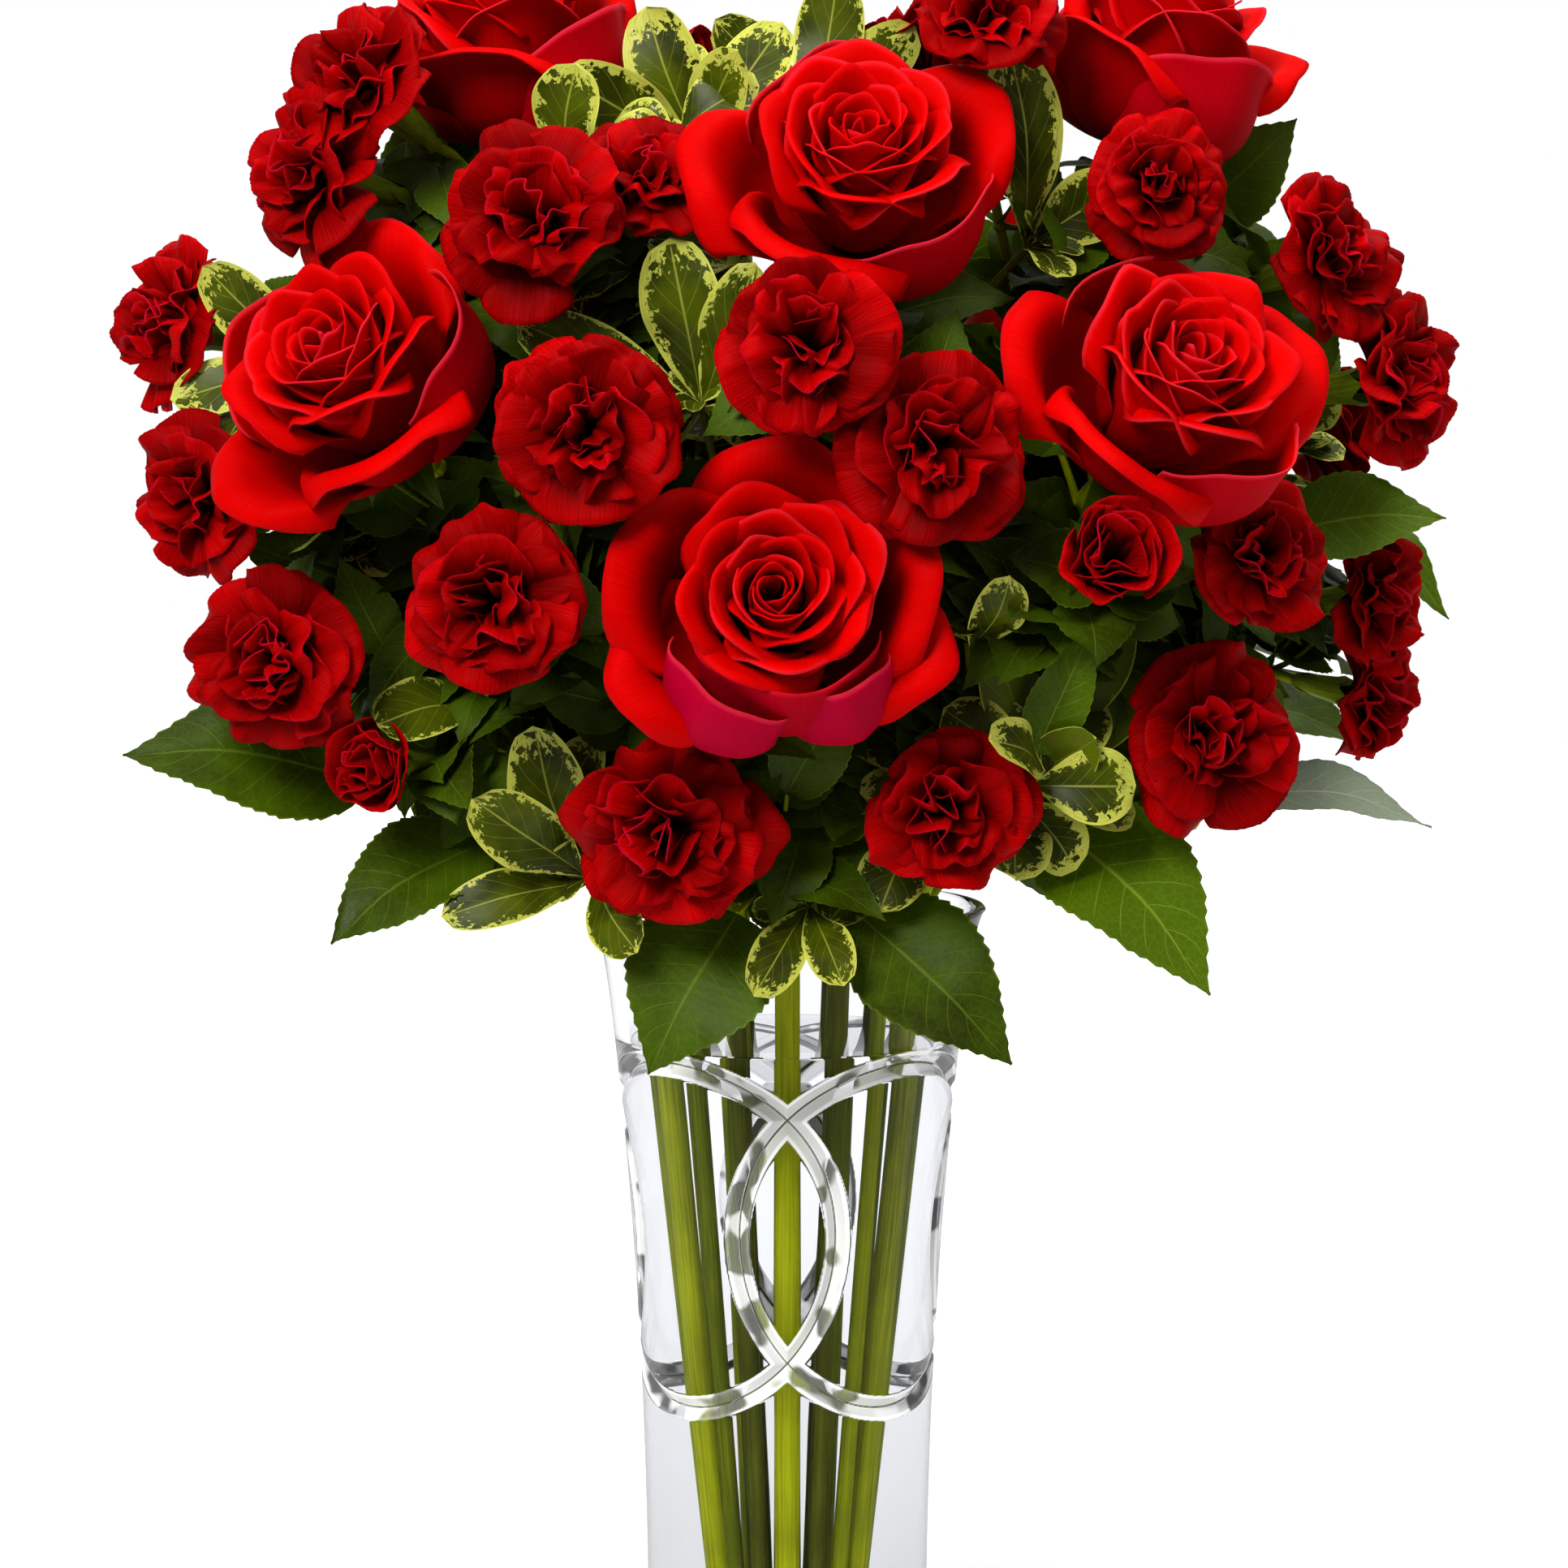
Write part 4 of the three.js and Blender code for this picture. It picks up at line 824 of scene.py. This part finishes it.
class Look:
    """A material and short calls to build its nodes."""

    def __init__(self, name):
        self.material = bpy.data.materials.new(name)
        self.material.use_nodes = True
        self.tree = self.material.node_tree
        self.shader = self.tree.nodes["Principled BSDF"]

    def set(self, node, socket, value):
        if isinstance(value, Value):
            self.tree.links.new(value.socket, node.inputs[socket])
        elif value is not None:
            node.inputs[socket].default_value = value

    def node(self, kind, settings=(), values=(), out=0, **inputs):
        """A new node's output. values: its inputs in their order. inputs: those that go by name."""
        n = self.tree.nodes.new("ShaderNode" + kind)
        for key, value in dict(settings).items():
            setattr(n, key, value)
        for key, value in [*enumerate(values), *inputs.items()]:
            self.set(n, key, value)
        return Value(self, n.outputs[out])

    def ramp(self, factor, stops):
        made = self.node("ValToRGB", values=[factor])
        elements = made.socket.node.color_ramp.elements
        while len(elements) < len(stops):
            elements.new(0.5)
        for e, (at, colour) in zip(elements, stops):
            e.position = at
            e.color = (*colour, 1)
        return made

    def mix(self, factor, a, b):
        a, b = (c if isinstance(c, Value) else (*c, 1) for c in (a, b))
        return self.node("Mix", {"data_type": "RGBA"}, (factor, *[None] * 5, a, b), out=2)

    def noise(self, vector, scale, detail=3.0, rough=0.55):
        return self.node("TexNoise", Vector=vector, Scale=scale, Detail=detail, Roughness=rough)

    def split(self, vector):
        x = self.node("SeparateXYZ", values=[vector])
        return [Value(self, socket) for socket in x.socket.node.outputs]

    def uv(self):
        """A sheet's own place: the vector, then across and along it, each from 0 to 1."""
        vector = self.node("UVMap", {"uv_map": "sheet"})
        return vector, *self.split(vector)[:2]

    def own(self):
        """The three values that each point has in its look."""
        return self.split(self.node("Attribute", {"attribute_name": "look"}, out="Vector"))

    def stretch(self, vector, x, y):
        return self.node("Mapping", Vector=vector, Scale=(x, y, 1))

    def place(self):
        return self.node("TexCoord", out="Object")

    def bump(self, height, strength, distance):
        self.finish(Normal=self.node("Bump", Height=height, Strength=strength, Distance=distance))

    def finish(self, **sockets):
        for key, value in sockets.items():
            self.set(self.shader, key.replace("_", " "), value)

    def output(self, shader):
        self.set(self.tree.nodes["Material Output"], 0, shader)

    def mixed_with(self, other, share):
        self.output(self.node("MixShader", values=(share, Value(self, self.shader.outputs[0]), other)))

    def see_through(self, colour, share):
        """Light that comes through a petal or leaf from behind it."""
        self.mixed_with(self.node("BsdfTranslucent", values=[colour]), share)


def petal_look(name, deep, middle, bright, edge, edge_from, streak, bump, magenta=None, rough=0.55, through=0.2,
               rim_share=(0, 1, 0.8, 0.8), lines=0.07):
    """A petal. deep, middle, bright: its colours from foot to tip; the darkening towards the foot is painted shade
    where the petals crowd together. edge: the colour of its rim, a painted highlight, from edge_from on. rim_share:
    how strong that painted highlight is, mapped from the petal's openness. streak: how much petals differ in
    brightness. lines: how strong the fine lines along them are. magenta: the colour that some backs blush in."""
    look = Look(name)
    uv, u, v = look.uv()
    chance, openness, blushing = look.own()
    streaks = look.noise(look.stretch(uv, 46, 2.2), 1.6, 4)
    patches = look.noise(look.place(), 55, 3)
    along = v + streaks.map(0, 1, -0.06, 0.06)
    # Painted shade: the colour darkens from the tip to the foot, where the petals crowd together.
    colour = look.ramp(along, [(0, deep), (0.45, middle), (0.92, bright)])
    if magenta:
        blush = (chance + openness.map(0.8, 1, -1, 0)).map(0.3, 0.7, 0, 0.8) * along.map(0.35, 0.8, 0, 1)
        colour = look.mix(blush * blushing, colour, magenta)
    level = chance.map(0, 1, 1 - streak, 1 + streak) * patches.map(0.3, 0.7, 0.93, 1.06)
    level = level * streaks.map(0.3, 0.7, 1 - lines, 1 + lines)
    colour = look.node("VectorMath", {"operation": "SCALE"}, [colour], Scale=level)
    # Painted highlight: a paler pink rim along the petal's tip and sides, stronger on some petals and by openness.
    sides = abs(u * 2 - 1).map(edge_from + 0.01, 1, 0, 1, True) * v.map(0.4, 0.7, 0, 1)
    rim = v.map(edge_from, 0.995, 0, 1, True).most(sides) * chance.map(0.35, 0.9, 0.1, 1)
    colour = look.mix(rim * openness.map(*rim_share), colour, edge)
    fine = look.noise(look.stretch(uv, 150, 26), 2.0, 2)
    look.bump(streaks * 0.7 + fine * 0.3, bump, 0.0006)
    look.finish(Base_Color=colour, Roughness=patches.map(0.3, 0.7, rough - 0.05, rough + 0.08),
                Specular_IOR_Level=0.02)
    look.see_through(colour, through)
    return look.material


SHADE = (0.01, 0.012, 0.0004)  # what the leaves deep inside the bouquet darken to


def rose_leaf_look(name, dark, light, vein):
    """A rose leaf, lighter where its chance is high and dull where its tint is grey."""
    look = Look(name)
    _, u, v = look.uv()
    chance, other, shade = look.own()
    across = abs(u * 2 - 1)
    patches = look.noise(look.place(), 42, 4)
    colour = look.mix(patches.map(0.35, 0.7, 0, 1), dark, light)
    colour = look.mix(chance.map(0.45, 1, 0, 0.6), colour, light)
    colour = look.mix(chance.map(0.9, 1, 0, 0.4), colour, tuple(1.5 * c for c in light))
    # The midrib, side veins that run up and out from it, and a fine net between them.
    side = abs((v * 8.5 - across * 1.9).fract() - 0.5).map(0.455, 0.5, 0, 1, True) * across.map(0.9, 0.55, 0, 1)
    net = look.node("TexVoronoi", {"feature": "DISTANCE_TO_EDGE"}, out="Distance", Vector=look.place(), Scale=420)
    fine = (side * 0.75).most(net.map(0, 0.12, 0.16, 0, True))
    veins = across.map(0, 0.045, 1, 0, True).most(fine)
    colour = look.mix(veins * chance.map(0.8, 1, 0.3, 0.8), colour, vein)
    colour = look.mix(across.map(0.93, 1, 0, 0.3, True), colour, vein)
    grey = look.mix(veins * 0.7, (0.22, 0.26, 0.18), (0.46, 0.5, 0.4))
    colour = look.mix(other.map(1.4, 1.6, 0, 0.85), colour, grey)
    colour = look.mix(shade * 0.34, colour, SHADE)
    look.bump(patches * 0.3 - veins, 0.35, 0.0004)
    look.finish(Base_Color=colour, Roughness=patches.map(0.3, 0.7, 0.39, 0.57), Specular_IOR_Level=0.1)
    look.see_through(colour, 0.12)
    return look.material


def sprig_leaf_look(name, dark, green, cream):
    """A leaf with a jagged pale margin, and with a thin one where its tint is plain."""
    look = Look(name)
    uv, u, v = look.uv()
    _, other, shade = look.own()
    across = abs(u * 2 - 1)
    near = across.most(v.map(0.55, 1, 0, 1))  # to the margin, at the tip as along the sides
    jag = look.noise(look.stretch(uv, 6, 10), 1.5, 5, 0.72)
    blot = look.noise(look.place(), 210, 2)
    margin = near + jag.map(0.25, 0.75, -0.34, 0.34) > 0.92 - other * 0.26
    spots = (blot > 0.6) * (near < 0.93)
    body = look.mix(look.noise(look.place(), 60, 4).map(0.4, 0.65, 0, 1), dark, green)
    pale = look.mix(v.map(0.2, 1, 0, 1), cream, tuple(0.85 * c for c in cream))
    pale = look.mix(look.noise(look.stretch(uv, 30, 5), 2, 2).map(0.4, 0.7, 0, 0.35), pale, green)
    colour = look.mix(margin - spots * margin, body, pale)
    side = abs((v * 7 - across * 2.4).fract() - 0.5).map(0.46, 0.5, 0, 0.35, True)
    veins = across.map(0, 0.05, 0.8, 0, True).most(side)
    colour = look.mix(veins, colour, tuple(0.5 * c + 0.5 * g for c, g in zip(cream, green)))
    colour = look.mix(other.map(-0.5, -0.2, 0.7, 0), colour, tuple(1.6 * g for g in green))
    colour = look.mix(near.map(0.955, 0.985, 0, 0.85, True), colour, cream)
    colour = look.mix(shade * 0.48, colour, SHADE)
    look.bump(jag * 0.2 - veins, 0.3, 0.0004)
    look.finish(Base_Color=colour, Roughness=0.36, Specular_IOR_Level=0.14)
    look.see_through(colour, 0.14)
    return look.material


def stem_look(name, dark, light, rough=0.4):
    """A stem with fine lines along it, lighter where its chance is high."""
    look = Look(name)
    lines = look.noise(look.stretch(look.uv()[0], 22, 2.0), 1.4, 4)
    patches = look.noise(look.place(), 28, 3)
    mixed = (lines * 0.55 + patches * 0.45).map(0.36, 0.66, -0.2, 0.8) + look.own()[0].map(0, 1, -0.5, 0.6)
    colour = look.mix(mixed, dark, light)
    look.bump(lines, 0.25, 0.0004)
    look.finish(Base_Color=colour, Roughness=patches.map(0.3, 0.7, rough, rough + 0.12), Specular_IOR_Level=0.06)
    look.see_through(colour, 0.08)
    return look.material


# How much of a cut gets the painted glint, a white that stands for the bright backdrop seen through its faces, from
# its side, 0, to where its two faces meet, 1.
CUT_GLINT = ((0, 0), (0.04, 0.95), (0.16, 0.9), (0.3, 0.48), (0.8, 0.5), (0.93, 0.8))


def glass_look(name, colour, ior, cuts=False):
    """Clear glass or water. cuts: it has cuts, whose faces get a painted white glint and a painted dark line where
    they meet.
    """
    look = Look(name)
    haze = look.noise(look.place(), 9.0, 2).map(0.35, 0.65, 0, 1)
    look.finish(Base_Color=look.mix(haze, colour, tuple(min(1, c * 1.01) for c in colour)), Roughness=0.0,
                Transmission_Weight=1.0, IOR=ior, Specular_Tint=(0.12, 0.12, 0.12, 1))
    if cuts:
        # Painted light: the faces of the cuts get a white share in patches, a painted glint that stands for the
        # bright backdrop seen through them; a painted dark line runs where they meet.
        depth = look.own()[1]
        white = look.ramp(depth, [(0, (1, 1, 1)), (0.86, (1, 1, 1)), (0.96, (0.1, 0.12, 0.06))])
        glint_patches = look.noise(look.place(), 85, 1).map(0.42, 0.5, 0.25, 1.4, True)
        share = look.ramp(depth, [(at, (share,) * 3) for at, share in CUT_GLINT])
        look.mixed_with(look.node("BsdfDiffuse", values=[white]), share * glint_patches)
    return look.material


# ------------------------------------------------------------------ the looks
# In each petal look the first colour, at the foot, is painted shade, and the edge colour is a painted highlight.
ROSE_FRONT = petal_look(
    "rose_petal_inside", (0.06, 0, 0), (0.42, 0, 0), (0.68, 0, 0), (0.7, 0.02, 0.035), 0.97, 0.06, 0.2,
    rim_share=(0, 0.7, 0.35, 0.8))
ROSE_BEHIND = petal_look(
    "rose_petal_outside", (0.14, 0, 0), (0.36, 0, 0.0004), (0.52, 0, 0.001), (0.62, 0.02, 0.05), 0.97, 0.06,
    0.2, magenta=(0.45, 0, 0.03))
CARNATION_FRONT = petal_look(
    "carnation_petal_inside", (0.006, 0, 0), (0.055, 0, 0), (0.34, 0, 0.0004), (0.5, 0.006, 0.045), 0.975,
    0.34, 0.3, rough=0.5, through=0.1, rim_share=(0, 1, 0.05, 0.4), lines=0.34)
CARNATION_BEHIND = petal_look(
    "carnation_petal_outside", (0.02, 0, 0), (0.12, 0, 0.001), (0.28, 0, 0.002), (0.5, 0.01, 0.04), 0.97,
    0.2, 0.3, rough=0.5, through=0.1, rim_share=(0, 1, 0.05, 0.5), lines=0.3)
ROSE_LEAF = rose_leaf_look("rose_leaf_upper", (0.022, 0.034, 0.0004), (0.062, 0.115, 0.0005), (0.22, 0.32, 0.02))
SPRIG_LEAF = sprig_leaf_look("sprig_leaf_upper", (0.024, 0.032, 0.0005), (0.075, 0.1, 0.001), (0.66, 0.68, 0.1))
STEM = stem_look("stem_green", (0.17, 0.2, 0), (0.68, 0.76, 0.0008))
SPRAY_STEM = stem_look("spray_stem_green", (0.13, 0.17, 0.001), (0.48, 0.55, 0.002), 0.5)
CALYX = stem_look("calyx_green", (0.09, 0.125, 0.003), (0.24, 0.31, 0.012), 0.45)
TWIG = stem_look("sprig_twig", (0.08, 0.09, 0.002), (0.22, 0.25, 0.01), 0.5)
GLASS = glass_look("clear_glass", (0.83, 0.836, 0.855), 1.5, cuts=True)
WATER = glass_look("clear_water", (0.985, 0.99, 0.988), 1.1)

# ------------------------------------------------------------------ the bouquet
# The outer petals of the front rose and of the others: (degrees round, slopes, length, width). 90 is up.
FRONT_GUARDS = [
    (-86, FOLDED, 55, 66), (-57, ROLLED, 60, 36), (-122, ROLLED, 61, 42), (8, OPEN, 54, 62), (80, OPEN, 53, 64),
    (160, OPEN, 55, 64), (-20, WIDE, 51, 50), (204, WIDE, 52, 54)]
GUARDS = [
    (20, OPEN, 53, 62), (92, CUPPED, 54, 62), (164, WIDE, 51, 60), (236, OPEN, 53, 62), (308, CUPPED, 55, 60)]

for index, (name, row) in enumerate(ROSES.items()):
    base = vec(row["face"]) - heading(row["turn"], row["tilt"]) * ROSE_BACK * row["size"]
    guards, blush = [(around + row["spin"], *petal) for around, *petal in GUARDS], 0.2
    if name == "rose_front":
        guards, blush = FRONT_GUARDS, 1.0
    build = Build()
    rose(build, placing(base, row["turn"], row["tilt"], 0), row["size"], SEED + index, guards, blush)
    thicken(piece(name + "_bloom", build, [ROSE_FRONT, ROSE_BEHIND], name), ROSE_THICK)
    rose_stem(name + "_stem", row, [STEM, ROSE_LEAF], SEED + 40 + index)

for index, (name, row) in enumerate(SPRAYS.items()):
    blooms = {}
    for k, (letter, (face, turn, tilt, spin, size)) in enumerate(row["heads"].items()):
        base = vec(face) - heading(turn, tilt) * CARNATION_BACK * size
        build = blooms.setdefault(TOUCHING.get((name, letter), letter), Build())
        carnation(build, placing(base, turn, tilt, spin), size, SEED + 100 + 10 * index + k)
    for letter, build in blooms.items():
        node = f"carnation_{name}_{letter}"
        made = piece(node + "_bloom", build, [CARNATION_FRONT, CARNATION_BEHIND], node)
        thicken(made, CARNATION_THICK)
    spray_stem(f"spray_{name}", row, [SPRAY_STEM, CALYX, ROSE_LEAF], SEED + 200 + index)

for index, (name, row) in enumerate(SPRIGS.items()):
    sprig(name, row, [TWIG, SPRIG_LEAF], SEED + 300 + index)

vase(GLASS)
water(WATER)

# ------------------------------------------------------------------ floor, light and camera
floor_mesh = bpy.data.meshes.new("floor")
floor_mesh.from_pydata([(-2.4, -0.45, 0), (2.4, -0.45, 0), (2.4, 2.6, 0), (-2.4, 2.6, 0)], [], [(0, 1, 2, 3)])
paint = Look("floor_paint")
glow = paint.node("VectorMath", {"operation": "LENGTH"}, [paint.place()], out="Value").map(0.25, 1.1, 0.62, 1)
grain = paint.noise(paint.place(), 3).map(0.3, 0.7, 0, 1)
paint.finish(Base_Color=paint.mix(grain, (0.38, 0.38, 0.38), (0.4, 0.4, 0.4)), Roughness=0.6,
             Emission_Color=(1, 1, 1, 1), Emission_Strength=glow)
floor_mesh.materials.append(paint.material)
floor = add("floor", floor_mesh)
floor.visible_glossy = False  # the glass shows no image of it

world = bpy.data.worlds.new("studio")
world.use_nodes = True
sky = world.node_tree.nodes["Background"].inputs
sky[0].default_value, sky[1].default_value = (1, 1, 1, 1), 1.0
bpy.context.scene.world = world


def studio_walls(name, radius, low, high, backdrop, seen_through):
    """The walls of the studio: dim ones that light the part, or those that are seen through its glass and water.
    low, high: their light at the floor and overhead. backdrop: how much brighter they are behind the part."""
    build = Build()
    up = np.linspace(-0.5, np.pi / 2, 16)[:, None]
    around = np.linspace(0, 2 * np.pi, 36, endpoint=False)[None, :]
    points = layers(np.cos(up) * np.cos(around), np.cos(up) * np.sin(around), np.sin(up))
    build.grid(points * radius / MM, np.zeros(2), closed=True, flip=True)
    look = Look(name + "_light")
    _, back, height = look.split(look.place())
    glow = height.map(0, radius, low, high) + back.map(0.3 * radius, 0.75 * radius, 0, backdrop, True)
    look.output(look.node("Emission", Strength=glow))
    obj = add(name, build.mesh(name))
    obj.data.materials.append(look.material)
    obj.visible_camera = False
    obj.visible_transmission = seen_through
    obj.visible_diffuse = obj.visible_glossy = not seen_through


studio_walls("studio_walls", 2.8, 0.12, 0.62, 0.45, False)
studio_walls("studio_backdrop", 2.7, 0.85, 0.85, 0.15, True)


def softbox(name, at, target, size, power):
    light = bpy.data.lights.new(name, "AREA")
    light.shape = "RECTANGLE"
    light.size, light.size_y = size
    light.energy = power
    obj = add(name, light)
    obj.location = at
    obj.rotation_euler = (Vector(target) - Vector(at)).to_track_quat("-Z", "Y").to_euler()


softbox("key", (-0.8, -1.7, 1.5), (0, 0, 0.3), (0.8, 0.8), 52)
softbox("top", (0.4, -0.1, 2.0), (0, 0, 0.3), (1.4, 1.4), 30)

bpy.context.scene.view_settings.view_transform = "Standard"

AIM = Vector((-0.9, 0, 246.5)) * MM
AWAY = 1900  # mm from there to the camera
LEVEL = math.radians(6)  # how far down it looks
SENSOR = 36
camera_data = bpy.data.cameras.new("camera")
camera_data.sensor_width = SENSOR
camera_data.lens = 4.6 * AWAY / 1932 * SENSOR  # 4.6 of the photograph's 1932 pixels to a millimetre at the aim
camera = add("camera", camera_data)
camera.location = AIM + AWAY * MM * Vector((0, -math.cos(LEVEL), math.sin(LEVEL)))
camera.rotation_euler = (AIM - camera.location).to_track_quat("-Z", "Y").to_euler()
bpy.context.scene.camera = camera
